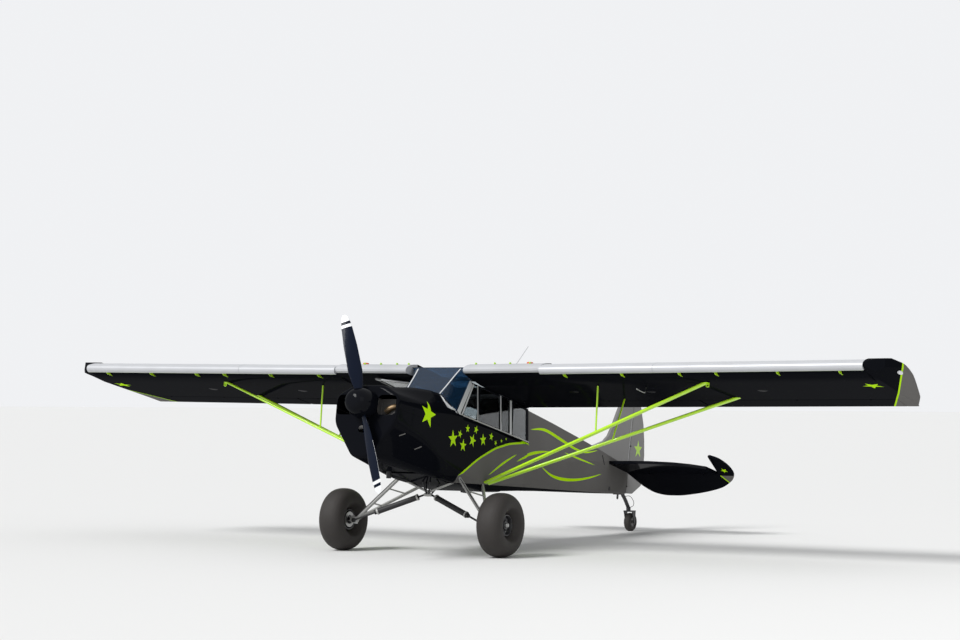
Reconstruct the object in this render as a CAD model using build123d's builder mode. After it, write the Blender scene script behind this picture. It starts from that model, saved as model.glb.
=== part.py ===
"""Tandem two-seat high-wing microlight with a tail wheel, standing on its three wheels.

Everything is drawn level, in the rigging frame, and set down nose-up at the end. In the rigging frame the
origin is midway between the main wheels on their axle line, X points to port, Y points aft and Z points up.
All sizes are millimetres and degrees.
"""
import os
from math import cos, radians, sin, sqrt, tan

from build123d import *

os.makedirs("parts", exist_ok=True)

# Stance
PARK_ANGLE = 12.0
TYRE_RADIUS = 315.5
TRACK_HALF = 926.0

# Nose and cowl
THRUST_Z = 937.0
COWL_FRONT_Y = -1222.0
COWL_WALL = 5.0
NOSE_DEPTH = 72.0
COWL_SPLIT_Z = 905.0
FIREWALL_Y = -450.0
CHEEK_OPENING = (280.0, 215.0)
CHEEK_CENTRE = (272.0, 942.0)
CHEEK_CORNER = 60.0
CHEEK_END_Y = -1060.0
CHIN_CENTRE_Z = 700.0
CHIN_OPENING = (110.0, 70.0)
SHAFT_OPENING_RADIUS = 62.0
OUTLET_SIZE = (380.0, 90.0)

# Propeller
PROP_Y = -1305.0
PROP_RADIUS = 932.0
PROP_LEAN = 20.6
SPINNER_RADIUS = 147.0
SPINNER_BASE_Y = -1236.0
SPINNER_TIP_Y = -1478.0
SPINNER_WALL = 4.0
BLADE_OPENING_RADIUS = 50.0

# Cabin
CABIN_WALL = 22.0
GREENHOUSE_WALL = 18.0
ROOM_HALF = 280.0
CABIN_REAR_Y = 1410.0
SILL_Z = 1085.0
RAIL_Z = 1455.0
SILL_HALF = 366.0
RAIL_HALF = 338.0
POST_FOOT_Y = -92.0
POST_SLOPE = 0.489
GLASS = 4.0

# Doorway on the starboard side, closed by two leaves
DOOR_FRONT_Y = -30.0
DOOR_REAR_Y = 759.0
DOOR_BOTTOM_Z = 620.0
DOOR_SPLIT_Z = 1053.0
DOOR_GAP = 6.0
SASH_THICK = 14.0
SASH_OPEN = 87.0

# Wing
WING_ROOT_X = 340.0
SLAT_START_X = 1215.0
SLAT_SEAM_X = 2452.0
TIP_START_X = 4561.0
TIP_X = 4800.0
DIHEDRAL = 0.54
WING_NOSE = (-85.0, 1545.0)
SLATTED_NOSE = (8.0, 1524.0)
WING_TAIL = (1328.0, 1456.5)
WING_THICK = 182.0
CAMBER = 0.04
CAMBER_AT = 0.4
SURFACE_FRACTION = 0.785
FLAP_SPAN = (424.0, 2440.0)
SURFACE_SEAM = 20.0
AILERON_SPAN = (FLAP_SPAN[1] + SURFACE_SEAM, 4500.0)
SURFACE_GAP = 6.0

# Hinges of the control surfaces
PIN_RADIUS = 4.0
PIN_CLEARANCE = 0.1
LUG_RADIUS = 10.0
LUG_THICK = 6.0
NOTCH_WIDTH = 18.0

# Tail
TAIL_POST_Y = 4372.0
TAIL_THICK = 34.0
STAB_Z = 1330.0
ELEVATOR_HINGE_Y = 4345.0
ELEVATOR_DROOP = 22.0
ELEVATOR_TUBE = 11.0
STAB_TIP_X = 1200.0
RUDDER_HINGE_Y = 4409.0
RUDDER_THROW = 20.0

# Undercarriage
TYRE_HALF_WIDTH = 134.0
RIM_RADIUS = 104.0
BRAKE_DISC_RADIUS = 80.0
AXLE_RADIUS = 19.0
AXLE_CLEARANCE = 0.1
GEAR_TUBE = 17.0
TAIL_WHEEL_Y = 4624.0
TAIL_WHEEL_RADIUS = 107.5
TAIL_WHEEL_HALF = 45.0
TAIL_AXLE_RADIUS = 8.0
SWIVEL_RADIUS = 12.0
TRAIL = 50.0

# Straight facets that turn a corner of the body sections
CORNER_FACETS = 4
# Gap at a running or seated fit that carries no pin
RUNNING_GAP = 0.3

SPAN_RISE = (cos(radians(DIHEDRAL)), 0.0, sin(radians(DIHEDRAL)))


def across(y):
    """Plane that faces forward at station y: its own x is X and its own y is Z."""
    return Plane(origin=(0, y, 0), x_dir=(1, 0, 0), z_dir=(0, -1, 0))


def side(x):
    """Plane that faces port at x: its own x is Y, aft, and its own y is Z."""
    return Plane(origin=(x, 0, 0), x_dir=(0, 1, 0), z_dir=(1, 0, 0))


def plan(z):
    """Plane that faces up at height z: its own x is Y, aft, and its own y is -X."""
    return Plane(origin=(0, 0, z), x_dir=(0, 1, 0), z_dir=(0, 0, 1))


def tube(start, end, radius, bore=0.0):
    """Round bar or tube from one point to another."""
    run = Vector(*end) - Vector(*start)
    with BuildPart() as bar:
        with BuildSketch(Plane(origin=start, z_dir=run)):
            Circle(radius)
            if bore:
                Circle(bore, mode=Mode.SUBTRACT)
        extrude(amount=run.length)
    return bar.part


def streamlined(start, end, chord, thick):
    """Strut of oval section, its long way fore and aft."""
    run = Vector(*end) - Vector(*start)
    with BuildPart() as bar:
        with BuildSketch(Plane(origin=start, x_dir=Vector(0, 1, 0) - run * (run.Y / run.length**2), z_dir=run)):
            SlotOverall(chord, thick)
        extrude(amount=run.length)
    return bar.part


def mirrored(points):
    """Half an outline, from the top middle down to the bottom middle, with its other half."""
    return points + [(-x, z) for x, z in reversed(points)]


def faceted(points, radius):
    """Closed polygon whose corners are turned in short straight facets, close to a round of the radius."""
    turned = []
    for i, point in enumerate(points):
        corner = Vector(*point)
        before, after = Vector(*points[i - 1]), Vector(*points[(i + 1) % len(points)])
        back, ahead = (before - corner).normalized(), (after - corner).normalized()
        reach = radius / tan(radians(back.get_angle(ahead)) / 2)
        for k in range(CORNER_FACETS + 1):
            share = k / CORNER_FACETS
            spot = corner + back * (reach * (1 - share) ** 2) + ahead * (reach * share**2)
            turned.append((spot.X, spot.Y))
    return turned


def outline(y, half, radius):
    """Closed section of the body at station y, from half its corners."""
    with BuildSketch(across(y)) as section:
        with BuildLine():
            Polyline(*(faceted(mirrored(half), radius) if radius else mirrored(half)), close=True)
        make_face()
    return section.sketch


def inset_half(half, inset):
    """Corners of a half section moved inwards by a wall: the first lies on top, the last on the bottom."""
    last = len(half) - 1
    drops = [inset if i == 0 else (-inset if i == last else 0.0) for i in range(len(half))]
    return [(x - inset, z - drop) for (x, z), drop in zip(half, drops)]


def body(rows, inset=0.0, ends=(0.0, 0.0)):
    """Solid through body sections; each row is y, half corners and corner radius."""
    sections = []
    for i, (y, half, radius) in enumerate(rows):
        shift = ends[0] if i == 0 else (-ends[1] if i == len(rows) - 1 else 0.0)
        sections.append(outline(y + shift, inset_half(half, inset), radius and max(radius - inset, 3.0)))
    with BuildPart() as solid:
        loft(sections=sections, ruled=True)
    return solid.part


def side_prism(points, x_from, x_to, radius=0.0):
    """Prism across the aircraft of a side-view polygon, from x_from to x_to."""
    with BuildPart() as prism:
        with BuildSketch(side(x_from)) as face:
            with BuildLine():
                Polyline(*points, close=True)
            make_face()
            if radius:
                fillet(face.vertices(), radius)
        extrude(amount=x_to - x_from)
    return prism.part


# Body sections. Each row is the station y, the half corners (x, z) from top to bottom, and the corner radius.
COWL_ROWS = [
    (COWL_FRONT_Y, [(116, 1112), (316, 976), (311, 770), (71, 455)], 80),
    (-1210, [(136, 1132), (336, 996), (331, 762), (91, 435)], 90),
    (-1185, [(150, 1146), (350, 1006), (345, 757), (105, 421)], 100),
    (-1020, [(170, 1165), (362, 1012), (357, 740), (150, 420)], 105),
    (-670, [(200, 1228), (371, 1037), (368, 690), (225, 412)], 110),
    (FIREWALL_Y, [(220, 1256), (374, 1056), (374, 620), (275, 408)], 110),
]
DECK_ROWS = [
    (FIREWALL_Y, [(220, 1256), (374, 1056), (374, 620), (275, 408)], 110),
    (-250, [(225, 1263), (375, 1072), (374, 560), (310, 408)], 80),
    (-20, [(228, 1270), (374, 1080), (370, 520), (325, 410)], 50),
]
TUB_ROWS = [
    (-20, [(374, SILL_Z), (370, 520), (325, 410)], 50),
    (610, [(SILL_HALF, SILL_Z), (362, 520), (322, 425)], 50),
    (CABIN_REAR_Y, [(335, SILL_Z), (330, 640), (300, 575)], 50),
]
GREENHOUSE_ROWS = [
    (-95, [(RAIL_HALF, RAIL_Z), (SILL_HALF, SILL_Z - 10)], 0),
    (990, [(RAIL_HALF, RAIL_Z), (SILL_HALF, SILL_Z - 10)], 0),
    (CABIN_REAR_Y, [(292, 1440), (335, SILL_Z - 10)], 0),
]
CONE_ROWS = [
    (CABIN_REAR_Y, [(20, 1478), (292, 1440), (332, 640), (300, 575)], 14),
    (2080, [(18, 1474), (230, 1440), (262, 715), (240, 690)], 12),
    (2930, [(14, 1462), (150, 1430), (172, 845), (155, 826)], 10),
    (3600, [(10, 1445), (88, 1415), (102, 948), (90, 932)], 8),
    (TAIL_POST_Y, [(6, 1400), (22, 1385), (24, 1075), (20, 1061)], 4),
]


# Cowl: an egg-shaped shell, open at the firewall, with a cooling opening in each cheek and one in the chin
with BuildPart() as cowl:
    add(body(COWL_ROWS))
    add(body(COWL_ROWS, COWL_WALL, ends=(COWL_WALL, -1)), mode=Mode.SUBTRACT)
    with BuildSketch(across(CHEEK_END_Y)):
        for hand in (1, -1):
            with Locations((hand * CHEEK_CENTRE[0], CHEEK_CENTRE[1])):
                RectangleRounded(*CHEEK_OPENING, CHEEK_CORNER)
    extrude(amount=CHEEK_END_Y - COWL_FRONT_Y + 10, mode=Mode.SUBTRACT)
    with BuildSketch(across(COWL_FRONT_Y + NOSE_DEPTH)):
        with Locations((0, CHIN_CENTRE_Z)):
            SlotOverall(*CHIN_OPENING)
        with Locations((0, THRUST_Z)):
            Circle(SHAFT_OPENING_RADIUS)
    extrude(amount=NOSE_DEPTH + 10, mode=Mode.SUBTRACT)
    with BuildSketch(Plane.XY.offset(300)):
        with Locations((0, FIREWALL_Y - OUTLET_SIZE[1] / 2 - 10)):
            Rectangle(*OUTLET_SIZE)
    extrude(amount=180, mode=Mode.SUBTRACT)

with BuildPart() as cowl_upper:
    add(cowl.part)
    split(bisect_by=Plane.XY.offset(COWL_SPLIT_Z), keep=Keep.TOP)
cowl_upper.part.label = "cowl_upper"

with BuildPart() as cowl_lower:
    add(cowl.part)
    split(bisect_by=Plane.XY.offset(COWL_SPLIT_Z), keep=Keep.BOTTOM)
cowl_lower.part.label = "cowl_lower"

# Engine: one plain block with the gearbox and the shaft flange ahead of it
ENGINE_REAR_GAP = 60.0
ENGINE_SIZE = (480.0, 560.0, 300.0)
GEARBOX_SIZE = (170.0, 110.0, 230.0)
ENGINE_MOUNT_X = 170.0
SHAFT_RADIUS = 30.0
engine_front_y = FIREWALL_Y - ENGINE_REAR_GAP - ENGINE_SIZE[1]
gearbox_front_y = engine_front_y - GEARBOX_SIZE[1]
with BuildPart() as engine:
    with Locations((0, engine_front_y + ENGINE_SIZE[1] / 2, THRUST_Z - 60)):
        Box(*ENGINE_SIZE)
    with Locations((0, gearbox_front_y + GEARBOX_SIZE[1] / 2, THRUST_Z - 30)):
        Box(*GEARBOX_SIZE)
    with BuildSketch(across(gearbox_front_y)):
        with Locations((0, THRUST_Z)):
            Circle(SHAFT_RADIUS)
    extrude(amount=gearbox_front_y - SPINNER_BASE_Y - RUNNING_GAP)
    with BuildSketch(across(FIREWALL_Y)):
        with GridLocations(2 * ENGINE_MOUNT_X, 180, 2, 2):
            with Locations((0, THRUST_Z - 60)):
                Circle(14)
    extrude(amount=ENGINE_REAR_GAP)
engine.part.label = "engine"

# Exhaust: a tail pipe that comes down through the outlet at the firewall
EXHAUST_X = -120.0
with BuildPart() as exhaust_pipe:
    with BuildLine() as exhaust_route:
        FilletPolyline(
            (EXHAUST_X, FIREWALL_Y - 60, THRUST_Z - 60 - ENGINE_SIZE[2] / 2),
            (EXHAUST_X, FIREWALL_Y - 60, 480),
            (EXHAUST_X, FIREWALL_Y - 40, 350),
            radius=60,
        )
    with BuildSketch(Plane(origin=exhaust_route.line @ 0, z_dir=exhaust_route.line % 0)):
        Circle(24)
        Circle(21, mode=Mode.SUBTRACT)
    sweep()
exhaust_pipe.part.label = "exhaust_pipe"

# Windshield: a wrapped sheet, its base flat in front with bent corners and its top edge straight
# Each row is the height, the y of the middle, the corner's x, and the side edge's x and y
SHIELD_ROWS = [
    (SILL_Z + 2, -400, 240, 366, POST_FOOT_Y),
    (1262, -250, 240, 352, POST_FOOT_Y + 175 * POST_SLOPE),
    (1466, -76, 245, 338, 94),
    (1592, 30, 290, 338, 52),
]


def shield_form(inset):
    """Solid under the windshield, its skin moved inwards by inset."""
    sections = []
    for z, middle_y, corner_x, edge_x, edge_y in SHIELD_ROWS:
        with BuildSketch(plan(z)) as crescent:
            with BuildLine():
                Polyline(
                    (edge_y + inset, -(edge_x - inset)),
                    (middle_y + inset, -(corner_x - inset)),
                    (middle_y + inset, corner_x - inset),
                    (edge_y + inset, edge_x - inset),
                    (160 + 40 * inset, edge_x - inset),
                    (160 + 40 * inset, -(edge_x - inset)),
                    close=True,
                )
            make_face()
        sections.append(crescent.sketch)
    with BuildPart() as form:
        loft(sections=sections, ruled=True)
    return form.part


POST_HEAD = (94.0, 1466.0)
BEHIND_POST = [
    (POST_FOOT_Y, 1000),
    (POST_FOOT_Y, SILL_Z + 2),
    POST_HEAD,
    (52, 1592),
    (52, 1700),
    (500, 1700),
    (500, 1000),
]
AHEAD_OF_POST = [(-300, SILL_Z + 2), (POST_FOOT_Y, SILL_Z + 2), POST_HEAD, (90, 1600), (-300, 1600)]
deck_form = body(DECK_ROWS)
with BuildPart() as greenhouse_form:
    add(body(GREENHOUSE_ROWS))
    add(side_prism(AHEAD_OF_POST, -400, 400), mode=Mode.SUBTRACT)
with BuildPart() as windshield:
    add(shield_form(0))
    add(shield_form(GLASS), mode=Mode.SUBTRACT)
    add(side_prism(BEHIND_POST, -400, 400), mode=Mode.SUBTRACT)
    add(deck_form, mode=Mode.SUBTRACT)
windshield.part.label = "windshield"

# Side windows. Each row is the lower front, lower rear, upper rear and upper front corner (y, z)
PANE_FOOT_Z = SILL_Z + 14
PANE_HEAD_Z = RAIL_Z - 14
FRONT_PANE = [(-10, PANE_FOOT_Z), (281, PANE_FOOT_Z), (281, PANE_HEAD_Z), (157, PANE_HEAD_Z)]
PORT_PANES = [
    FRONT_PANE,
    [(297, PANE_FOOT_Z), (751, PANE_FOOT_Z), (751, PANE_HEAD_Z), (297, PANE_HEAD_Z)],
    [(767, PANE_FOOT_Z), (975, PANE_FOOT_Z), (975, PANE_HEAD_Z), (767, PANE_HEAD_Z)],
    [(1006, PANE_FOOT_Z), (1350, PANE_FOOT_Z), (1350, PANE_HEAD_Z - 14), (1006, PANE_HEAD_Z)],
]
STARBOARD_PANES = [
    [(790, PANE_FOOT_Z), (975, PANE_FOOT_Z), (975, PANE_HEAD_Z), (790, PANE_HEAD_Z)],
    PORT_PANES[3],
]
DOORWAY = [
    (DOOR_FRONT_Y, DOOR_BOTTOM_Z),
    (DOOR_REAR_Y, DOOR_BOTTOM_Z),
    (DOOR_REAR_Y, RAIL_Z + 1),
    (DOOR_FRONT_Y + 180, RAIL_Z + 1),
    (DOOR_FRONT_Y, SILL_Z),
]

# Cabin shell: deck, tub and greenhouse, hollow inside, with the window and door openings
cabin_hollow = [
    body(DECK_ROWS, CABIN_WALL, ends=(10, -40)),
    body(TUB_ROWS, CABIN_WALL, ends=(-60, 15)),
]
tub_form = body(TUB_ROWS)
with BuildPart() as cabin_shell:
    add(deck_form)
    add(tub_form)
    add(greenhouse_form.part)
    for hollow in cabin_hollow:
        add(hollow, mode=Mode.SUBTRACT)
    add(body(GREENHOUSE_ROWS, GREENHOUSE_WALL, ends=(-200, 15)), mode=Mode.SUBTRACT)
    with Locations((0, (CABIN_REAR_Y + DOOR_FRONT_Y) / 2 - 45, SILL_Z + 190)):
        Box(2 * ROOM_HALF, 1480, 440, mode=Mode.SUBTRACT)
    add(shield_form(CABIN_WALL), mode=Mode.SUBTRACT)
    for pane in PORT_PANES:
        add(side_prism(pane, 200, 450, 12), mode=Mode.SUBTRACT)
    for pane in STARBOARD_PANES:
        add(side_prism(pane, -450, -200, 12), mode=Mode.SUBTRACT)
    add(windshield.part, mode=Mode.SUBTRACT)
    add(side_prism(DOORWAY, -450, -200), mode=Mode.SUBTRACT)
cabin_shell.part.label = "cabin_shell"


def airfoil(nose, fractions, upper=True):
    """Points (y, z) of the wing section from its nose point: a four-digit camber line with its thickness."""
    run = (WING_TAIL[0] - nose[0], WING_TAIL[1] - nose[1])
    chord = sqrt(run[0] ** 2 + run[1] ** 2)
    along = (run[0] / chord, run[1] / chord)
    points = []
    for s in fractions:
        half = 5 * WING_THICK * (0.2969 * sqrt(s) - 0.1260 * s - 0.3516 * s**2 + 0.2843 * s**3 - 0.1036 * s**4)
        if s < CAMBER_AT:
            rise = CAMBER / CAMBER_AT**2 * (2 * CAMBER_AT * s - s * s)
        else:
            rise = CAMBER / (1 - CAMBER_AT) ** 2 * (1 - 2 * CAMBER_AT + 2 * CAMBER_AT * s - s * s)
        lift = rise * chord + (half + 2 * s) * (1 if upper else -1)
        y = nose[0] + along[0] * s * chord - along[1] * lift
        z = nose[1] + along[1] * s * chord + along[0] * lift
        points.append((y, z))
    return points


# Behind its nose every length of wing has the same corners
AFT_FRACTIONS = [1, 0.9, 0.8, 0.7, 0.6, 0.5, 0.4, 0.3, 0.22]
NOSE_TOP_FRACTIONS = [0.15, 0.09, 0.05, 0.022, 0.006]
NOSE_UNDER_FRACTIONS = [0, 0.006, 0.022, 0.05, 0.09, 0.15]


def wing_solid(nose, x_from, x_to):
    """Length of wing of one section, following the dihedral out from the root."""
    rise = (x_from - WING_ROOT_X) * SPAN_RISE[2] / SPAN_RISE[0]
    with BuildPart() as panel:
        with BuildSketch(Plane(origin=(x_from, 0, rise), x_dir=(0, 1, 0), z_dir=(1, 0, 0))):
            with BuildLine():
                top = airfoil(SLATTED_NOSE, AFT_FRACTIONS)
                under = airfoil(SLATTED_NOSE, reversed(AFT_FRACTIONS), upper=False)
                front = airfoil(nose, NOSE_TOP_FRACTIONS) + airfoil(nose, NOSE_UNDER_FRACTIONS, upper=False)
                Polyline(*top, *front, *under, close=True)
            make_face()
        extrude(amount=(x_to - x_from) / SPAN_RISE[0], dir=SPAN_RISE)
    return panel.part


def wing_plane(x):
    """Plane of a rib at x, raised by the dihedral."""
    return Plane(origin=(x, 0, (x - WING_ROOT_X) * SPAN_RISE[2] / SPAN_RISE[0]), x_dir=(0, 1, 0), z_dir=(1, 0, 0))


def span_plane(x, y, z):
    """Plane square to the span line at x, its origin at (y, z) of the root section; its own x is Y."""
    rise = (x - WING_ROOT_X) * SPAN_RISE[2] / SPAN_RISE[0]
    return Plane(origin=(x, y, z + rise), x_dir=(0, 1, 0), z_dir=SPAN_RISE)


def shifted(plane, shift):
    """The same plane with its origin moved by a vector."""
    return Plane(origin=plane.origin + shift, x_dir=plane.x_dir, z_dir=plane.z_dir)


def hinge_lug(plane, hinge, reach, direction):
    """Plate with a bore, reaching forward from a hinge to the fixed part; its middle lies on the plane."""
    half = Vector(*direction) * (LUG_THICK / 2)
    with BuildPart() as lug:
        with BuildSketch(shifted(plane, -half)):
            with Locations(hinge):
                Circle(LUG_RADIUS)
            with Locations((hinge[0] - reach / 2, hinge[1])):
                Rectangle(reach, 1.5 * LUG_RADIUS)
            with Locations(hinge):
                Circle(PIN_RADIUS + PIN_CLEARANCE, mode=Mode.SUBTRACT)
        extrude(amount=LUG_THICK, dir=direction)
    return lug.part


def hinge_notch(plane, hinge, reach, direction):
    """Space that a lug needs in the moving surface."""
    half = Vector(*direction) * (NOTCH_WIDTH / 2)
    with BuildPart() as notch:
        with BuildSketch(shifted(plane, -half)):
            with Locations((hinge[0] + (LUG_RADIUS + 6 - reach) / 2, hinge[1])):
                Rectangle(reach + LUG_RADIUS + 6, 4 * LUG_RADIUS + 80)
        extrude(amount=NOTCH_WIDTH, dir=direction)
    return notch.part


def hinge_pin(plane, hinge, direction):
    """Pin across a notch, held in both its walls."""
    half = Vector(*direction) * (NOTCH_WIDTH / 2 + 6)
    with BuildPart() as pin:
        with BuildSketch(shifted(plane, -half)):
            with Locations(hinge):
                Circle(PIN_RADIUS)
        extrude(amount=NOTCH_WIDTH + 12, dir=direction)
    return pin.part


# Hinge line of the flaps and ailerons, and the radius of their round noses
hinge_top = airfoil(SLATTED_NOSE, [SURFACE_FRACTION])[0]
hinge_under = airfoil(SLATTED_NOSE, [SURFACE_FRACTION], upper=False)[0]
WING_HINGE = ((hinge_top[0] + hinge_under[0]) / 2, (hinge_top[1] + hinge_under[1]) / 2)
WING_HINGE_RADIUS = (hinge_top[1] - hinge_under[1]) / 2 - 0.6
ON_AXIS = (0.0, 0.0)


def span_bar(x_from, x_to, radius):
    """Round bar along the hinge line of the flaps and ailerons."""
    return tube(span_plane(x_from, *WING_HINGE).origin, span_plane(x_to, *WING_HINGE).origin, radius)


def wing_surface(x_from, x_to, stations):
    """Flap or aileron: the tail of the wing section behind a round nose, notched at its hinges."""
    with BuildPart() as surface:
        with BuildSketch(wing_plane(x_from)):
            with BuildLine():
                back = airfoil(SLATTED_NOSE, [SURFACE_FRACTION, 0.86, 0.93, 1])
                front = airfoil(SLATTED_NOSE, [1, 0.93, 0.86, SURFACE_FRACTION], upper=False)
                Polyline(*back, *front, close=True)
            make_face()
        extrude(amount=(x_to - x_from) / SPAN_RISE[0], dir=SPAN_RISE)
        add(span_bar(x_from, x_to, WING_HINGE_RADIUS))
        for x in stations:
            notch = hinge_notch(span_plane(x, *WING_HINGE), ON_AXIS, WING_HINGE_RADIUS + 4, SPAN_RISE)
            add(notch, mode=Mode.SUBTRACT)
        for x in stations:
            add(hinge_pin(span_plane(x, *WING_HINGE), ON_AXIS, SPAN_RISE))
    return surface.part


HINGE_SHARES = (0.13, 0.5, 0.87)
FLAP_HINGES = [FLAP_SPAN[0] + share * (FLAP_SPAN[1] - FLAP_SPAN[0]) for share in HINGE_SHARES]
AILERON_HINGES = [AILERON_SPAN[0] + share * (AILERON_SPAN[1] - AILERON_SPAN[0]) for share in HINGE_SHARES]

with BuildPart() as flap_left:
    add(wing_surface(*FLAP_SPAN, FLAP_HINGES))
flap_left.part.label = "flap_left"

with BuildPart() as aileron_left:
    add(wing_surface(*AILERON_SPAN, AILERON_HINGES))
aileron_left.part.label = "aileron_left"

# Wing: a full section at the root, a set-back nose behind the slats, and a tip cut upwards from below
# The tip in plan (y, x); its corners are rounded by the two radii, and it is cut upwards from below
TIP_OUTLINE = [
    (-100, TIP_START_X - 8),
    (50, TIP_X - 78),
    (300, TIP_X),
    (700, TIP_X - 35),
    (1340, TIP_X - 148),
    (1340, 300),
    (-100, 300),
]
TIP_ROUNDS = (120.0, 200.0)
cove_from, cove_to = FLAP_SPAN[0] - SURFACE_GAP, AILERON_SPAN[1] + SURFACE_GAP
with BuildPart() as wing_left:
    add(wing_solid(WING_NOSE, WING_ROOT_X, SLAT_START_X))
    add(wing_solid(SLATTED_NOSE, SLAT_START_X, TIP_START_X))
    add(wing_solid(WING_NOSE, TIP_START_X, TIP_X + 10))
    with BuildSketch(Plane.XY.offset(1300)) as tip_plan:
        with BuildLine():
            Polyline(*[(x, y) for y, x in TIP_OUTLINE], close=True)
        make_face()
        for radius in TIP_ROUNDS:
            fillet(tip_plan.vertices().group_by(Axis.X)[-1], radius)
    extrude(amount=600, mode=Mode.INTERSECT)
    with BuildSketch(Plane(origin=(0, 1500, 0), x_dir=(1, 0, 0), z_dir=(0, -1, 0))):
        with BuildLine():
            Polyline(
                (TIP_START_X + 24, 1400),
                (TIP_START_X + 60, 1505),
                (TIP_X + 30, 1668),
                (TIP_X + 60, 1400),
                close=True,
            )
        make_face()
    extrude(amount=1700, mode=Mode.SUBTRACT)
    with BuildSketch(wing_plane(cove_from)):
        with Locations((WING_HINGE[0] - WING_HINGE_RADIUS / 2 + 250, WING_HINGE[1])):
            Rectangle(500, 200)
    extrude(amount=(cove_to - cove_from) / SPAN_RISE[0], dir=SPAN_RISE, mode=Mode.SUBTRACT)
    add(span_bar(cove_from, cove_to, WING_HINGE_RADIUS + SURFACE_GAP), mode=Mode.SUBTRACT)
    for x in FLAP_HINGES + AILERON_HINGES:
        add(hinge_lug(span_plane(x, *WING_HINGE), ON_AXIS, WING_HINGE_RADIUS + SURFACE_GAP + 12, SPAN_RISE))
wing_left.part.label = "wing_left"

# Slats: two fixed lengths ahead of the wing's nose, on small brackets
SLAT_BRACKETS = (1462.0, 2088.0, 2700.0, 3079.0, 3704.0, 4317.0)
BRACKET_THICK = 6.0
SLAT_SEAM = 3.0
SLAT_MID_Z = 1560.0
with BuildPart() as slat_left:
    with BuildSketch(span_plane(SLAT_START_X, 0, SLAT_MID_Z)):
        with BuildLine():
            ThreePointArc((-46, -66), (-97, -31), (-66, 16))
            ThreePointArc((-66, 16), (4, 47), (82, 65))
            Line((82, 65), (80, 59))
            ThreePointArc((80, 59), (2, 32), (-30, -15))
            Line((-30, -15), (-46, -66))
        make_face()
    extrude(amount=(TIP_START_X - SLAT_START_X) / SPAN_RISE[0])
    with Locations((SLAT_SEAM_X, 0, SLAT_MID_Z)):
        Box(SLAT_SEAM, 300, 300, mode=Mode.SUBTRACT)
    for x in SLAT_BRACKETS:
        with BuildSketch(wing_plane(x - BRACKET_THICK / 2)):
            with BuildLine():
                Polyline((-58, 1500), (-60, 1540), (-20, 1560), (40, 1530), (70, 1480), (-10, 1478), close=True)
            make_face()
        extrude(amount=BRACKET_THICK)
    add(wing_left.part, mode=Mode.SUBTRACT)
slat_left.part.label = "slat_left"

# Lift struts and jury struts. Columns of a strut: foot (x, y, z) and head (x, y, z)
STRUT_CHORD = 56.0
STRUT_THICK = 25.0
FRONT_STRUT = ((366.0, 562.0, 512.0), (2937.0, 259.0, 1520.0))
REAR_STRUT = ((366.0, 624.0, 512.0), (2937.0, 940.0, 1500.0))
JURY_X = 1650.0
JURY_RADIUS = 9.0


def along(strut, x):
    """Point of a strut's centre line at x."""
    foot, head = Vector(*strut[0]), Vector(*strut[1])
    return foot + (head - foot) * ((x - foot.X) / (head.X - foot.X))


# Tie-down plates hang from the front strut heads and from the tail spring's seat
TIE_BORE = 9.0
TIE_THICK = 8.0
TIE_WIDTH = 36.0
TIE_DROP = 38.0
TIE_X = 2880.0
tie_top = along(FRONT_STRUT, TIE_X)
with BuildPart() as tie_plate:
    with BuildSketch(across(tie_top.Y + TIE_THICK / 2)):
        with Locations((tie_top.X, tie_top.Z - TIE_DROP)):
            Circle(TIE_WIDTH / 2)
        with Locations((tie_top.X, tie_top.Z - TIE_DROP / 2)):
            Rectangle(TIE_WIDTH, TIE_DROP)
        with Locations((tie_top.X, tie_top.Z - TIE_DROP)):
            Circle(TIE_BORE, mode=Mode.SUBTRACT)
    extrude(amount=TIE_THICK)

with BuildPart() as lift_strut_front_left:
    add(streamlined(*FRONT_STRUT, STRUT_CHORD, STRUT_THICK))
    add(tie_plate.part)
    add(wing_left.part, mode=Mode.SUBTRACT)
    add(tub_form, mode=Mode.SUBTRACT)
    with Locations((2937, 259, 1700)):
        Box(400, 400, 300, mode=Mode.SUBTRACT)
lift_strut_front_left.part.label = "lift_strut_front_left"

with BuildPart() as lift_strut_rear_left:
    add(streamlined(*REAR_STRUT, STRUT_CHORD, STRUT_THICK))
    add(wing_left.part, mode=Mode.SUBTRACT)
    add(tub_form, mode=Mode.SUBTRACT)
    add(lift_strut_front_left.part, mode=Mode.SUBTRACT)
lift_strut_rear_left.part.label = "lift_strut_rear_left"

with BuildPart() as jury_struts_left:
    add(tube(along(FRONT_STRUT, JURY_X), (JURY_X, 350, 1540), JURY_RADIUS))
    add(tube(along(REAR_STRUT, JURY_X), (JURY_X, 975, 1512), JURY_RADIUS))
    for piece in (wing_left, lift_strut_front_left, lift_strut_rear_left):
        add(piece.part, mode=Mode.SUBTRACT)
jury_struts_left.part.label = "jury_struts_left"

# Glazing that does not open: one sheet a pane, half way through the frame
PANE_DEPTH = 7.0


def panes(openings, x_from, x_to):
    """Panes of the side windows, cut from a sheet that follows the greenhouse's walls."""
    with BuildPart() as sheet:
        add(body(GREENHOUSE_ROWS, PANE_DEPTH, ends=(-40, -40)))
        add(body(GREENHOUSE_ROWS, PANE_DEPTH + GLASS, ends=(-60, -60)), mode=Mode.SUBTRACT)
    with BuildPart() as cuts:
        for opening in openings:
            add(side_prism(opening, x_from, x_to, 12))
    with BuildPart() as glass:
        add(sheet.part)
        add(cuts.part, mode=Mode.INTERSECT)
    return glass.part


with BuildPart() as windows_left:
    add(panes(PORT_PANES, 200, 450))
windows_left.part.label = "windows_left"

with BuildPart() as windows_right:
    add(panes(STARBOARD_PANES, -450, -200))
windows_right.part.label = "windows_right"

# Roof between the wing roots: a clear sheet ahead and a covered panel behind, both on the wing's upper curve
ROOF_HALF = WING_ROOT_X
ROOF_SPLIT = 0.70
ROOF_COVER = 12.0


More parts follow.
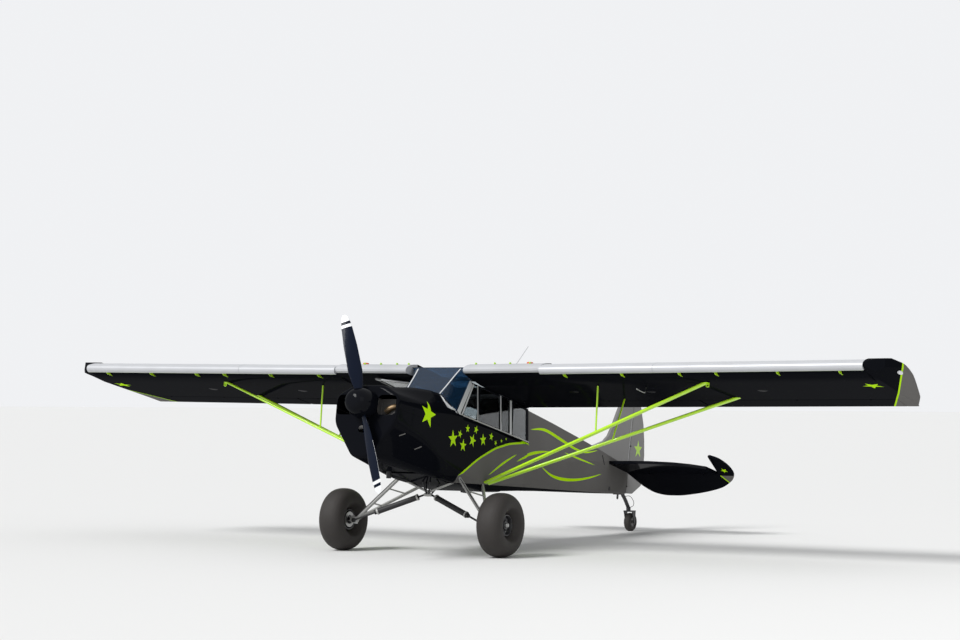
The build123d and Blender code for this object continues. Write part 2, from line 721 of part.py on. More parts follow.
def roof_sheet(top, thick):
    """Sheet across the cabin under a line of side-view points, from front to rear."""
    with BuildPart() as sheet:
        with BuildSketch(side(-ROOF_HALF)):
            with BuildLine():
                Polyline(*top, *[(y, z - thick) for y, z in reversed(top)], close=True)
            make_face()
        extrude(amount=2 * ROOF_HALF)
    return sheet.part


with BuildPart() as skylight:
    add(roof_sheet([(32, 1594), (180, 1622)] + airfoil(WING_NOSE, [0.35, 0.5, ROOF_SPLIT]), GLASS))
    add(windshield.part, mode=Mode.SUBTRACT)
skylight.part.label = "skylight"

with BuildPart() as roof_rear:
    add(roof_sheet(airfoil(WING_NOSE, [ROOF_SPLIT, 0.8, 0.9, 1]), ROOF_COVER))
    with BuildSketch(side(-290)):
        with BuildLine():
            Polyline((1322, 1447), (CABIN_REAR_Y, 1440), (CABIN_REAR_Y, 1452), (1322, 1459), close=True)
        make_face()
    extrude(amount=580)
    add(cabin_shell.part, mode=Mode.SUBTRACT)
roof_rear.part.label = "roof_rear"

# Spar tubes that carry the lift across the cabin, from root rib to root rib
SPAR_RADIUS = 22.0
with BuildPart() as spar_tubes:
    add(tube((-ROOF_HALF, 259, 1520), (ROOF_HALF, 259, 1520), SPAR_RADIUS))
    add(tube((-ROOF_HALF, 940, 1490), (ROOF_HALF, 940, 1490), SPAR_RADIUS))
spar_tubes.part.label = "spar_tubes"

# Cabin fittings: each is a simple block trimmed to the inside of the shell
PANEL_Y = -150.0
PANEL_THICK = 18.0
with BuildPart() as instrument_panel:
    with Locations((0, PANEL_Y, 1090)):
        Box(800, PANEL_THICK, 360)
    add(cabin_hollow[0], mode=Mode.INTERSECT)
instrument_panel.part.label = "instrument_panel"

# Seats: columns are label, front of the cushion, top of the cushion, foot and head of the backrest, half width
SEAT_ROWS = [
    ("seat_front", 160, 640, 560, 640, 1130, 220),
    ("seat_rear", 860, 660, 1210, 1290, 1150, 200),
]
seats = []
for label, front, cushion, foot, head, top, half in SEAT_ROWS:
    with BuildPart() as seat:
        with BuildSketch(side(-half)) as seat_side:
            with BuildLine():
                Polyline(
                    (front, 350),
                    (front, cushion - 20),
                    (front + 30, cushion),
                    (foot, cushion - 40),
                    (head, top),
                    (head + 50, top - 10),
                    (foot + 70, cushion - 90),
                    (foot + 40, 350),
                    close=True,
                )
            make_face()
            fillet(seat_side.vertices(), 8)
        extrude(amount=2 * half)
        add(cabin_hollow[1], mode=Mode.INTERSECT)
    seat.part.label = label
    seats.append(seat)

# Lower door leaf: cut from the tub's own wall, folding out about its bottom edge
LEAF_AXIS = (-(SILL_HALF + 17.0), DOOR_BOTTOM_Z - 3.0)
LEAF_PIN = 5.0
leaf_outline = [
    (DOOR_FRONT_Y + DOOR_GAP, DOOR_BOTTOM_Z + DOOR_GAP),
    (DOOR_REAR_Y - DOOR_GAP, DOOR_BOTTOM_Z + DOOR_GAP),
    (DOOR_REAR_Y - DOOR_GAP, DOOR_SPLIT_Z - DOOR_GAP / 2),
    (DOOR_FRONT_Y + DOOR_GAP, DOOR_SPLIT_Z - DOOR_GAP / 2),
]
LEAF_HINGES = (90.0, 640.0)
KNUCKLE_HALF = 20.0
KNUCKLE_RADIUS = 9.0


def knuckle(y, half, arm, bore):
    """Barrel about the lower leaf's axis, centred at y, with an arm to the panel that it belongs to."""
    with BuildPart() as barrel:
        with BuildSketch(across(y + half)):
            with Locations(LEAF_AXIS):
                Circle(KNUCKLE_RADIUS)
            with BuildLine():
                Polyline(*arm, close=True)
            make_face()
            if bore:
                with Locations(LEAF_AXIS):
                    Circle(LEAF_PIN + PIN_CLEARANCE, mode=Mode.SUBTRACT)
        extrude(amount=2 * half)
    return barrel.part


leaf_arm = [
    (LEAF_AXIS[0] - 6, LEAF_AXIS[1] + 6),
    (-SILL_HALF - 6, DOOR_BOTTOM_Z + 34),
    (-SILL_HALF + 8, DOOR_BOTTOM_Z + 34),
    (-SILL_HALF + 8, DOOR_BOTTOM_Z + DOOR_GAP + 1),
    (LEAF_AXIS[0] + 6, LEAF_AXIS[1] + 6),
]
sill_arm = [(x, 2 * LEAF_AXIS[1] - z) for x, z in reversed(leaf_arm)]
with BuildPart() as door_lower:
    add(body(TUB_ROWS, ends=(-20, -10)))
    add(body(TUB_ROWS, CABIN_WALL, ends=(-60, -30)), mode=Mode.SUBTRACT)
    add(side_prism(leaf_outline, -450, -200), mode=Mode.INTERSECT)
    for y in LEAF_HINGES:
        add(knuckle(y, KNUCKLE_HALF, leaf_arm, True))
door_lower.part.label = "door_lower"

# Upper door leaf: a glazed sash under the wing, its top tube turning on pins in the door frame
SASH_AXIS_FRONT = (-340.0, 156.0, 1461.0)
SASH_AXIS_REAR = (-340.0, 750.0, 1424.0)
SASH_TUBE = 8.0
SASH_PIN = 4.0
SASH_PIN_DEPTH = 20.0
SASH_RAIL = 24.0
sash_run = (Vector(*SASH_AXIS_REAR) - Vector(*SASH_AXIS_FRONT)).normalized()
sash_slope = (SILL_HALF - RAIL_HALF) / (RAIL_Z - SILL_Z + 10)
sash_foot_z = DOOR_SPLIT_Z + DOOR_GAP / 2
sash_outline = [
    (DOOR_FRONT_Y + DOOR_GAP, sash_foot_z),
    (DOOR_REAR_Y - DOOR_GAP, sash_foot_z),
    (DOOR_REAR_Y - DOOR_GAP, SASH_AXIS_REAR[2]),
    (SASH_AXIS_FRONT[1] + 4, SASH_AXIS_FRONT[2]),
    (SASH_AXIS_FRONT[1] - 4, SASH_AXIS_FRONT[2] - 12),
    (DOOR_FRONT_Y + DOOR_GAP + 1, SILL_Z),
]
sash_light = [
    (DOOR_FRONT_Y + DOOR_GAP + SASH_RAIL + 12, sash_foot_z + SASH_RAIL),
    (DOOR_REAR_Y - DOOR_GAP - SASH_RAIL, sash_foot_z + SASH_RAIL),
    (DOOR_REAR_Y - DOOR_GAP - SASH_RAIL, SASH_AXIS_REAR[2] - SASH_RAIL - 8),
    (SASH_AXIS_FRONT[1] + 30, SASH_AXIS_FRONT[2] - SASH_RAIL - 12),
]


def sash_wall(depth, thick):
    """Slab in the plane of the closed sash, its outer face depth behind the greenhouse's skin."""
    foot_x = -(SILL_HALF + (SILL_Z - 10 - sash_foot_z + 20) * sash_slope) + depth
    head_x = -(RAIL_HALF - 20 * sash_slope) + depth
    with BuildPart() as wall:
        with BuildSketch(across(DOOR_REAR_Y)):
            with BuildLine():
                Polyline(
                    (foot_x, sash_foot_z - 20),
                    (foot_x + thick, sash_foot_z - 20),
                    (head_x + thick, RAIL_Z + 20),
                    (head_x, RAIL_Z + 20),
                    close=True,
                )
            make_face()
        extrude(amount=DOOR_REAR_Y - DOOR_FRONT_Y)
    return wall.part


sash_axis = Axis(SASH_AXIS_FRONT, sash_run)
with BuildPart() as sash_closed:
    add(sash_wall(0, SASH_THICK))
    add(side_prism(sash_outline, -450, -200), mode=Mode.INTERSECT)
    add(side_prism(sash_light, -450, -200, 10), mode=Mode.SUBTRACT)
    add(tube(SASH_AXIS_FRONT, SASH_AXIS_REAR, SASH_TUBE))
    bore_front = Vector(*SASH_AXIS_FRONT)
    bore_rear = Vector(*SASH_AXIS_REAR)
    add(tube(bore_front - sash_run * 5, bore_front + sash_run * 26, SASH_PIN + PIN_CLEARANCE), mode=Mode.SUBTRACT)
    add(tube(bore_rear + sash_run * 5, bore_rear - sash_run * 26, SASH_PIN + PIN_CLEARANCE), mode=Mode.SUBTRACT)

with BuildPart() as sash_pane_closed:
    add(sash_wall(SASH_THICK / 2 - GLASS / 2, GLASS))
    add(side_prism(sash_light, -450, -200, 10), mode=Mode.INTERSECT)

with BuildPart() as door_upper:
    add(sash_closed.part.rotate(sash_axis, SASH_OPEN))
door_upper.part.label = "door_upper"

with BuildPart() as door_upper_glass:
    add(sash_pane_closed.part.rotate(sash_axis, SASH_OPEN))
door_upper_glass.part.label = "door_upper_glass"

# Fixed halves of the door hinges, on the cabin shell
with BuildPart() as door_hinges:
    for y in LEAF_HINGES:
        for hand in (-1, 1):
            add(knuckle(y + hand * (KNUCKLE_HALF + DOOR_GAP + 4), 4, sill_arm, False))
        reach = KNUCKLE_HALF + DOOR_GAP + 4
        add(tube((LEAF_AXIS[0], y - reach, LEAF_AXIS[1]), (LEAF_AXIS[0], y + reach, LEAF_AXIS[1]), LEAF_PIN))
    with Locations((-336, 131, 1461)):
        Box(26, 36, 20)
    with Locations((-336, 764, 1424)):
        Box(28, 16, 34)
    add(tube(bore_front - sash_run * 12, bore_front + sash_run * SASH_PIN_DEPTH, SASH_PIN))
    add(tube(bore_rear + sash_run * 12, bore_rear - sash_run * SASH_PIN_DEPTH, SASH_PIN))

with BuildPart() as cabin_whole:
    add(cabin_shell.part)
    add(door_hinges.part)
cabin_whole.part.label = "cabin_shell"

# Tail cone, closed and solid, with the passage for the elevator's cross tube
with BuildPart() as tail_cone:
    add(body(CONE_ROWS))
    with BuildSketch(side(-60)):
        with Locations((ELEVATOR_HINGE_Y, STAB_Z)):
            Circle(ELEVATOR_TUBE + SURFACE_GAP)
        with Locations((ELEVATOR_HINGE_Y + 30, STAB_Z)):
            Rectangle(60, 2 * (ELEVATOR_TUBE + SURFACE_GAP))
    extrude(amount=120, mode=Mode.SUBTRACT)
tail_cone.part.label = "tail_cone"

# Fin: a flat covered frame that rises from the cone's ridge, its outline in the side view
RUDDER_NOSE = TAIL_THICK / 2
FIN_REAR_Y = RUDDER_HINGE_Y - RUDDER_NOSE - SURFACE_GAP
RUDDER_TOP_Z = 2350.0
RUDDER_FOOT_Z = 1075.0
FIN_TOP_Z = 2310.0
FIN_OUTLINE = [
    (3416, 1440),
    (3735, 1572),
    (3832, 1651),
    (3919, 1790),
    (4012, 1977),
    (4150, 2210),
    (4290, FIN_TOP_Z),
    (FIN_REAR_Y, FIN_TOP_Z + 14),
    (FIN_REAR_Y, 1385),
]
RUDDER_HINGES = (1160.0, 1640.0, 2180.0)
with BuildPart() as fin:
    with BuildSketch(side(-TAIL_THICK / 2)) as fin_face:
        with BuildLine():
            Polyline(*FIN_OUTLINE, close=True)
        make_face()
    extrude(amount=TAIL_THICK)
    with BuildSketch(side(-TAIL_THICK / 2)):
        with BuildLine():
            Polyline(
                (TAIL_POST_Y - 2, 1066),
                (FIN_REAR_Y, 1066),
                (FIN_REAR_Y, 1400),
                (TAIL_POST_Y - 2, 1400),
                close=True,
            )
        make_face()
    extrude(amount=TAIL_THICK)
    with Locations((0, FIN_REAR_Y, STAB_Z)):
        Box(2 * TAIL_THICK, 60, 2 * (ELEVATOR_TUBE + SURFACE_GAP), mode=Mode.SUBTRACT)
    add(tail_cone.part, mode=Mode.SUBTRACT)
    for z in RUDDER_HINGES:
        add(hinge_lug(plan(z), (RUDDER_HINGE_Y, 0), RUDDER_NOSE + SURFACE_GAP + 8, (0, 0, 1)))
fin.part.label = "fin"

# Rudder: a flat frame with a round nose on the hinge line
RUDDER_OUTLINE = [
    (RUDDER_HINGE_Y, RUDDER_FOOT_Z),
    (4560, 1096),
    (4778, 1235),
    (4800, 1420),
    (4788, 1608),
    (4749, 1783),
    (4690, 1960),
    (4590, 2140),
    (4500, 2290),
    (RUDDER_HINGE_Y, RUDDER_TOP_Z),
]
with BuildPart() as rudder:
    with BuildSketch(side(-TAIL_THICK / 2)) as rudder_face:
        with BuildLine():
            Polyline(*RUDDER_OUTLINE, close=True)
        make_face()
        fillet(rudder_face.vertices().sort_by(Axis.X)[2:], 60)
    extrude(amount=TAIL_THICK)
    with BuildSketch(Plane.XY.offset(RUDDER_FOOT_Z)):
        with Locations((0, RUDDER_HINGE_Y)):
            Circle(RUDDER_NOSE)
    extrude(amount=RUDDER_TOP_Z - RUDDER_FOOT_Z)
    for z in RUDDER_HINGES:
        add(hinge_notch(plan(z), (RUDDER_HINGE_Y, 0), RUDDER_NOSE + 4, (0, 0, 1)), mode=Mode.SUBTRACT)
    for z in RUDDER_HINGES:
        add(hinge_pin(plan(z), (RUDDER_HINGE_Y, 0), (0, 0, 1)))
rudder.part.label = "rudder"

# Stabiliser: both halves in one plan outline (x, y), running through the cone
STAB_NOSE = TAIL_THICK / 2
STAB_REAR_Y = ELEVATOR_HINGE_Y - STAB_NOSE - SURFACE_GAP
STAB_OUTLINE = [
    (0, 3800),
    (300, 3765),
    (600, 3745),
    (880, 3790),
    (1050, 3872),
    (STAB_TIP_X, 4010),
    (STAB_TIP_X, STAB_REAR_Y),
]
ELEVATOR_HINGES = (330.0, 1020.0)
elevator_axis = (ELEVATOR_HINGE_Y, STAB_Z)
with BuildPart() as stabiliser:
    with BuildSketch(Plane.XY.offset(STAB_Z - TAIL_THICK / 2)) as stab_plan:
        with BuildLine():
            Polyline(*STAB_OUTLINE, (0, STAB_REAR_Y), close=True)
        make_face()
        mirror(about=Plane.YZ)
    extrude(amount=TAIL_THICK)
    add(tail_cone.part, mode=Mode.SUBTRACT)
    with Locations((0, ELEVATOR_HINGE_Y, STAB_Z)):
        Box(80, 60, 60, mode=Mode.SUBTRACT)
    for hand in (-1, 1):
        for x in ELEVATOR_HINGES:
            add(hinge_lug(side(hand * x), elevator_axis, STAB_NOSE + SURFACE_GAP + 12, (1, 0, 0)))
stabiliser.part.label = "stabiliser"

# Elevator: two halves on one cross tube, with balance horns beyond the stabiliser's tips
ELEVATOR_INNER_X = 34.0
HORN_GAP_X = STAB_TIP_X + 9.0
ELEVATOR_OUTLINE = [
    (ELEVATOR_INNER_X, 0),
    (ELEVATOR_INNER_X + 175, 432),
    (330, 495),
    (620, 484),
    (888, 408),
    (1123, 312),
    (1252, 218),
    (1358, 104),
    (1407, -19),
    (1392, -165),
    (1328, -300),
    (HORN_GAP_X, -373),
    (HORN_GAP_X, 0),
]
with BuildPart() as elevator_level:
    with BuildSketch(Plane.XY.offset(STAB_Z - TAIL_THICK / 2)) as elevator_plan:
        with BuildLine():
            Polyline(*[(x, ELEVATOR_HINGE_Y + y) for x, y in ELEVATOR_OUTLINE], close=True)
        make_face()
        fillet(elevator_plan.vertices().group_by(Axis.X)[-1], 60)
    extrude(amount=TAIL_THICK)
    nose_start, nose_end = ELEVATOR_INNER_X, HORN_GAP_X + 40
    add(tube((nose_start, ELEVATOR_HINGE_Y, STAB_Z), (nose_end, ELEVATOR_HINGE_Y, STAB_Z), STAB_NOSE))
    for x in ELEVATOR_HINGES:
        add(hinge_notch(side(x), elevator_axis, STAB_NOSE + 4, (1, 0, 0)), mode=Mode.SUBTRACT)
    for x in ELEVATOR_HINGES:
        add(hinge_pin(side(x), elevator_axis, (1, 0, 0)))
    mirror(about=Plane.YZ)
    reach = ELEVATOR_INNER_X + 30
    add(tube((-reach, ELEVATOR_HINGE_Y, STAB_Z), (reach, ELEVATOR_HINGE_Y, STAB_Z), ELEVATOR_TUBE))
with BuildPart() as elevator:
    add(elevator_level.part.rotate(Axis((0, ELEVATOR_HINGE_Y, STAB_Z), (1, 0, 0)), -ELEVATOR_DROOP))
elevator.part.label = "elevator"

# Main undercarriage: two legs a side meeting at the axle, a centre frame, and a damped strut a side
FRONT_FITTING = (345.0, 80.0, 470.0)
REAR_FITTING = (345.0, 547.0, 478.0)
KNUCKLE = (782.0, 6.0, 0.0)
AXLE_END_X = TRACK_HALF + 84
CENTRE_PLATE = (0.0, 82.0, 315.0)
CALIPER_X = 826.0


def between(start, end, share):
    """Point part of the way from start to end."""
    return Vector(*start) + (Vector(*end) - Vector(*start)) * share


with BuildPart() as gear_leg_left:
    add(tube(FRONT_FITTING, KNUCKLE, GEAR_TUBE))
    add(tube(REAR_FITTING, KNUCKLE, GEAR_TUBE))
    for share in (0.28, 0.62):
        add(tube(between(FRONT_FITTING, KNUCKLE, share), between(REAR_FITTING, KNUCKLE, share), 8))
    add(tube((KNUCKLE[0] - 26, 0, 0), (KNUCKLE[0] + 22, 0, 0), 30))
    add(tube((KNUCKLE[0], 0, 0), (AXLE_END_X, 0, 0), AXLE_RADIUS))
    with Locations((CALIPER_X - 18, 52, 0)):
        Box(20, 50, 60)
    add(tube((CALIPER_X - 22, 0, 0), (CALIPER_X - 10, 0, 0), 40))
    add(tub_form, mode=Mode.SUBTRACT)
    add(deck_form, mode=Mode.SUBTRACT)
gear_leg_left.part.label = "gear_leg_left"

with BuildPart() as cabane:
    for hand in (-1, 1):
        add(tube((hand * 318, 82, 440), CENTRE_PLATE, 13))
    with Locations(CENTRE_PLATE):
        Box(92, 30, 116)
    add(tub_form, mode=Mode.SUBTRACT)
cabane.part.label = "cabane"

SHOCK_FOOT = (40.0, 82.0, 290.0)
SHOCK_HEAD = (774.0, -44.0, -14.0)
with BuildPart() as shock_strut_left:
    add(tube(SHOCK_FOOT, SHOCK_HEAD, 10))
    add(tube(between(SHOCK_FOOT, SHOCK_HEAD, 0.09), between(SHOCK_FOOT, SHOCK_HEAD, 0.66), 29))
    add(tube(between(SHOCK_FOOT, SHOCK_HEAD, 0.66), between(SHOCK_FOOT, SHOCK_HEAD, 0.70), 22))
    eye_half = Vector(14, 0, 0)
    add(tube(Vector(*SHOCK_HEAD) - eye_half, Vector(*SHOCK_HEAD) + eye_half, 20))
    add(cabane.part, mode=Mode.SUBTRACT)
    add(gear_leg_left.part, mode=Mode.SUBTRACT)
shock_strut_left.part.label = "shock_strut_left"

# Main wheel: a fat smooth tyre on a dished rim, drawn about its own axle and moved out to its place
# Half the tyre's section from bead to crown: shares of its half width and of its height above the rim
TYRE_SECTION = [
    (0.54, 0.0),
    (0.60, 0.08),
    (0.92, 0.26),
    (1.0, 0.49),
    (0.90, 0.73),
    (0.64, 0.89),
    (0.36, 0.97),
    (0.1, 1.0),
]
BEAD_HALF = TYRE_SECTION[0][0] * TYRE_HALF_WIDTH


def tyre_corner(u, v, hand):
    """Point (x, radius) of the tyre's section on one hand of its middle plane."""
    return TRACK_HALF + hand * u * TYRE_HALF_WIDTH, RIM_RADIUS + v * (TYRE_RADIUS - RIM_RADIUS)


with BuildPart() as tyre_left:
    with BuildSketch(Plane.XZ):
        with BuildLine():
            outer_side = [tyre_corner(u, v, 1) for u, v in TYRE_SECTION]
            inner_side = [tyre_corner(u, v, -1) for u, v in reversed(TYRE_SECTION)]
            Polyline(*outer_side, *inner_side, close=True)
        make_face()
    revolve(axis=Axis.X)
tyre_left.part.label = "tyre_left"

with BuildPart() as rim_left:
    with BuildSketch(Plane.XZ):
        with BuildLine():
            Polyline(
                (TRACK_HALF - 74, AXLE_RADIUS + AXLE_CLEARANCE),
                (TRACK_HALF + 78, AXLE_RADIUS + AXLE_CLEARANCE),
                (TRACK_HALF + 78, 40),
                (TRACK_HALF + 44, 44),
                (TRACK_HALF + 40, 82),
                (TRACK_HALF + BEAD_HALF, 94),
                (TRACK_HALF + BEAD_HALF, RIM_RADIUS),
                (TRACK_HALF - BEAD_HALF, RIM_RADIUS),
                (TRACK_HALF - BEAD_HALF, 94),
                (TRACK_HALF + 20, 82),
                (TRACK_HALF + 24, 40),
                (TRACK_HALF - 64, 40),
                (TRACK_HALF - 64, BRAKE_DISC_RADIUS),
                (TRACK_HALF - 74, BRAKE_DISC_RADIUS),
                close=True,
            )
        make_face()
    revolve(axis=Axis.X)
rim_left.part.label = "rim_left"

# Tail wheel: spring leaf, steering fork on an upright pin, and a small solid wheel
# Upright here means upright once parked, so the fork's planes lean forward in the rigging frame
lean_y, lean_z = -sin(radians(PARK_ANGLE)), cos(radians(PARK_ANGLE))
wheel_drop = TAIL_WHEEL_RADIUS - TYRE_RADIUS
wheel_at = Vector(0, TAIL_WHEEL_Y, (wheel_drop - TAIL_WHEEL_Y * lean_y) / lean_z)
upright = Vector(0, lean_y, lean_z)
trailing = Vector(0, lean_z, -lean_y)
CROWN_RISE = TAIL_WHEEL_RADIUS + 14
swivel_at = wheel_at - trailing * TRAIL + upright * CROWN_RISE
CROWN_THICK = 14.0
BRACKET_RISE = 44.0
bracket_at = swivel_at + upright * (CROWN_THICK + 1)


def upright_plane(point):
    """Plane square to the swivel pin at a point: its own x is X."""
    return Plane(origin=point, x_dir=(1, 0, 0), z_dir=upright)


with BuildPart() as tail_fork:
    with BuildSketch(upright_plane(swivel_at)):
        with Locations((0, TRAIL / 2 + 6)):
            RectangleRounded(2 * TAIL_WHEEL_HALF + 28, TRAIL + 60, 12)
    extrude(amount=CROWN_THICK)
    for hand in (-1, 1):
        blade_x = hand * (TAIL_WHEEL_HALF + 9)
        with BuildSketch(Plane(origin=(blade_x - 4, 0, 0), x_dir=trailing, z_dir=(1, 0, 0))):
            with BuildLine():
                foot = wheel_at.dot(trailing), wheel_at.dot(upright)
                Polyline(
                    (foot[0] - 62, foot[1] + CROWN_RISE + 4),
                    (foot[0] + 26, foot[1] + CROWN_RISE + 4),
                    (foot[0] + 16, foot[1] - 14),
                    (foot[0] - 16, foot[1] - 14),
                    close=True,
                )
            make_face()
        extrude(amount=8)
    axle_end = Vector(TAIL_WHEEL_HALF + 12, 0, 0)
    add(tube(wheel_at - axle_end, wheel_at + axle_end, TAIL_AXLE_RADIUS))
    add(tube(swivel_at, swivel_at + upright * (CROWN_THICK + BRACKET_RISE + 8), SWIVEL_RADIUS))
tail_fork.part.label = "tail_fork"

# Half the small wheel's section from hub to crown: shares of its half width and of its radius
TAIL_SECTION = [(1.04, 0.23), (0.78, 0.46), (0.96, 0.58), (1.0, 0.73), (0.84, 0.88), (0.52, 0.97), (0.16, 1.0)]
with BuildPart() as tail_wheel:
    with BuildSketch(Plane.XZ):
        with BuildLine():
            bore_end = (TAIL_SECTION[0][0] * TAIL_WHEEL_HALF, TAIL_AXLE_RADIUS + AXLE_CLEARANCE)
            port_side = [bore_end] + [(u * TAIL_WHEEL_HALF, v * TAIL_WHEEL_RADIUS) for u, v in TAIL_SECTION]
            Polyline(*port_side, *[(-x, z) for x, z in reversed(port_side)], close=True)
        make_face()
    revolve(axis=Axis.X)
with BuildPart() as tail_wheel_placed:
    add(tail_wheel.part.moved(Location(wheel_at)))
tail_wheel_placed.part.label = "tail_wheel"



def ribbon(points, thick):
    """Outline of a strip of even thickness whose middle follows a line of points."""
    ways = [(Vector(*b) - Vector(*a)).normalized() for a, b in zip(points, points[1:])]
    upper, lower = [], []
    for point, before, after in zip(points, ways[:1] + ways, ways + ways[-1:]):
        bend = (before + after).normalized()
        out = Vector(-bend.Y, bend.X) * (thick / 2 / bend.dot(before))
        upper.append((point[0] + out.X, point[1] + out.Y))
        lower.append((point[0] - out.X, point[1] - out.Y))
    return upper + lower[::-1]


LEAF_WIDTH = 44.0
LEAF_THICK = 12.0
TAIL_TIE_Y = 4230.0
TAIL_TIE_Z = 990.0
leaf_end = bracket_at + upright * (0.7 * BRACKET_RISE)
leaf_line = [(4150, 1021), (4350, 1054), (4440, 1000), (leaf_end.Y, leaf_end.Z)]
with BuildPart() as tail_spring:
    with BuildSketch(side(-LEAF_WIDTH / 2)):
        with BuildLine():
            Polyline(*ribbon(leaf_line, LEAF_THICK), close=True)
        make_face()
    extrude(amount=LEAF_WIDTH)
    add(tube(bracket_at, bracket_at + upright * BRACKET_RISE, 26))
    with BuildSketch(side(-TIE_THICK / 2)):
        with Locations((TAIL_TIE_Y, TAIL_TIE_Z)):
            Circle(TIE_WIDTH / 2)
        with Locations((TAIL_TIE_Y, TAIL_TIE_Z + 22)):
            Rectangle(TIE_WIDTH, 40)
        with Locations((TAIL_TIE_Y, TAIL_TIE_Z)):
            Circle(TIE_BORE, mode=Mode.SUBTRACT)
    extrude(amount=TIE_THICK)
    add(tube(swivel_at, bracket_at + upright * 80, SWIVEL_RADIUS + PIN_CLEARANCE), mode=Mode.SUBTRACT)
    add(tail_cone.part, mode=Mode.SUBTRACT)
tail_spring.part.label = "tail_spring"

# Aerial: a whip on the port wing's root
AERIAL_FOOT = (600.0, 450.0, 1660.0)
AERIAL_HEAD = (600.0, 720.0, 1970.0)
with BuildPart() as aerial:
    add(tube(AERIAL_FOOT, AERIAL_HEAD, 4))
    add(tube((600, 450, 1640), (600, 450, 1676), 16))
    add(wing_left.part, mode=Mode.SUBTRACT)
aerial.part.label = "aerial"

# Propeller: two twisted blades on a hub, drawn about the thrust line
# Blade stations: radius, chord, thickness, pitch angle
BLADE_ROWS = [
    (30, 62, 60, 46),
    (120, 70, 54, 46),
    (200, 108, 38, 41),
    (330, 142, 24, 31),
    (600, 138, 16, 21),
    (800, 112, 12, 16),
    (PROP_RADIUS - 30, 78, 9, 13),
    (PROP_RADIUS, 34, 6, 13),
]
# Corners of the section as parts of its chord and thickness, leading edge at +0.5
BLADE_SECTION = [
    (0.50, 0.0),
    (0.40, 0.30),
    (0.12, 0.50),
    (-0.25, 0.34),
    (-0.50, 0.0),
    (-0.25, -0.34),
    (0.12, -0.50),
    (0.40, -0.30),
]
hub_at = Vector(0, PROP_Y, THRUST_Z)
blade_out = Vector(-sin(radians(PROP_LEAN)), 0, cos(radians(PROP_LEAN)))
blade_side = Vector(cos(radians(PROP_LEAN)), 0, sin(radians(PROP_LEAN)))


def blade_plane(radius, pitch=0.0):
    """Plane square to the blade at a radius, its x along the chord."""
    chord_dir = blade_side * cos(radians(pitch)) + Vector(0, 1, 0) * sin(radians(pitch))
    return Plane(origin=hub_at + blade_out * radius, x_dir=chord_dir, z_dir=blade_out)


with BuildPart() as blade:
    blade_sections = []
    for radius, chord, thick, pitch in BLADE_ROWS:
        with BuildSketch(blade_plane(radius, pitch), mode=Mode.PRIVATE) as station:
            with BuildLine():
                Polyline(*[(u * chord, v * thick) for u, v in BLADE_SECTION], close=True)
            make_face()
        blade_sections.append(station.sketch)
    loft(sections=blade_sections, ruled=True)

with BuildPart() as propeller:
    add(blade.part)
    add(blade.part.rotate(Axis(hub_at, (0, 1, 0)), 180))
    add(tube((0, SPINNER_BASE_Y - 8, THRUST_Z), (0, PROP_Y - 50, THRUST_Z), 52))
    disc_radius = SPINNER_RADIUS - SPINNER_WALL - RUNNING_GAP
    add(tube((0, SPINNER_BASE_Y, THRUST_Z), (0, SPINNER_BASE_Y - 10, THRUST_Z), disc_radius))
propeller.part.label = "propeller"

# The dome's line from base to tip: shares of its length and of its base radius
SPINNER_SECTION = [
    (0.0, 1.0),
    (0.14, 1.0),
    (0.34, 0.965),
    (0.54, 0.86),
    (0.72, 0.69),
    (0.87, 0.46),
    (0.97, 0.2),
    (1.0, 0.0),
]


def dome(wall):
    """Half section of the dome with its skin moved inwards by a wall, as points (y, radius)."""
    length = SPINNER_BASE_Y - SPINNER_TIP_Y - wall
    points = [(SPINNER_BASE_Y - u * length, v * (SPINNER_RADIUS - wall)) for u, v in SPINNER_SECTION]
    return [(SPINNER_BASE_Y + wall, 0), (SPINNER_BASE_Y + wall, SPINNER_RADIUS - wall)] + points[1:]


with BuildPart() as spinner:
    with BuildSketch(Plane(origin=(0, 0, THRUST_Z), x_dir=(0, 1, 0), z_dir=(1, 0, 0))):
        for wall, kind in ((0, Mode.ADD), (SPINNER_WALL, Mode.SUBTRACT)):
            with BuildLine():
                Polyline(*dome(wall), close=True)
            make_face(mode=kind)
    revolve(axis=Axis((0, 0, THRUST_Z), (0, 1, 0)))
    add(tube(hub_at - blade_out * 200, hub_at + blade_out * 200, BLADE_OPENING_RADIUS), mode=Mode.SUBTRACT)
spinner.part.label = "spinner"

# Starboard pieces that mirror their port twins
port_twins = [
    wing_left,
    slat_left,
    flap_left,
    aileron_left,
    lift_strut_front_left,
    lift_strut_rear_left,
    jury_struts_left,
    gear_leg_left,
    shock_strut_left,
    tyre_left,
    rim_left,
]
starboard = []
for twin in port_twins:
    with BuildPart() as other:
        mirror(twin.part, about=Plane.YZ)
    other.part.label = twin.part.label.replace("_left", "_right")
    starboard.append(other)

# Setting down: the level airframe is turned nose-up on its wheels and centred over its footprint
single = [
    cowl_upper,
    cowl_lower,
    engine,
    exhaust_pipe,
    cabin_whole,
    windshield,
    windows_left,
    windows_right,
    skylight,
    roof_rear,
    spar_tubes,
    instrument_panel,
    door_lower,
    door_upper,
    door_upper_glass,
    tail_cone,
    fin,
    rudder,
    stabiliser,
    elevator,
    cabane,
    tail_fork,
    tail_wheel_placed,
    tail_spring,
    aerial,
    propeller,
    spinner,
]
turned = Location((0, 0, TYRE_RADIUS), (-PARK_ANGLE, 0, 0))
pieces = [piece.part.moved(turned) for piece in single + seats + port_twins + starboard]
footprint = Compound(children=pieces).bounding_box()
PARKED = Location((0, -footprint.center().Y, -footprint.min.Z)) * turned

for piece in single + seats + port_twins + starboard:
    parked = piece.part.moved(PARKED)
    parked.label = piece.part.label
    export_step(parked, f"parts/{parked.label}.step")
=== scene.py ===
"""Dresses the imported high-wing microlight aircraft: finishes, smooth skins and fittings on its CAD frame."""

from __future__ import annotations

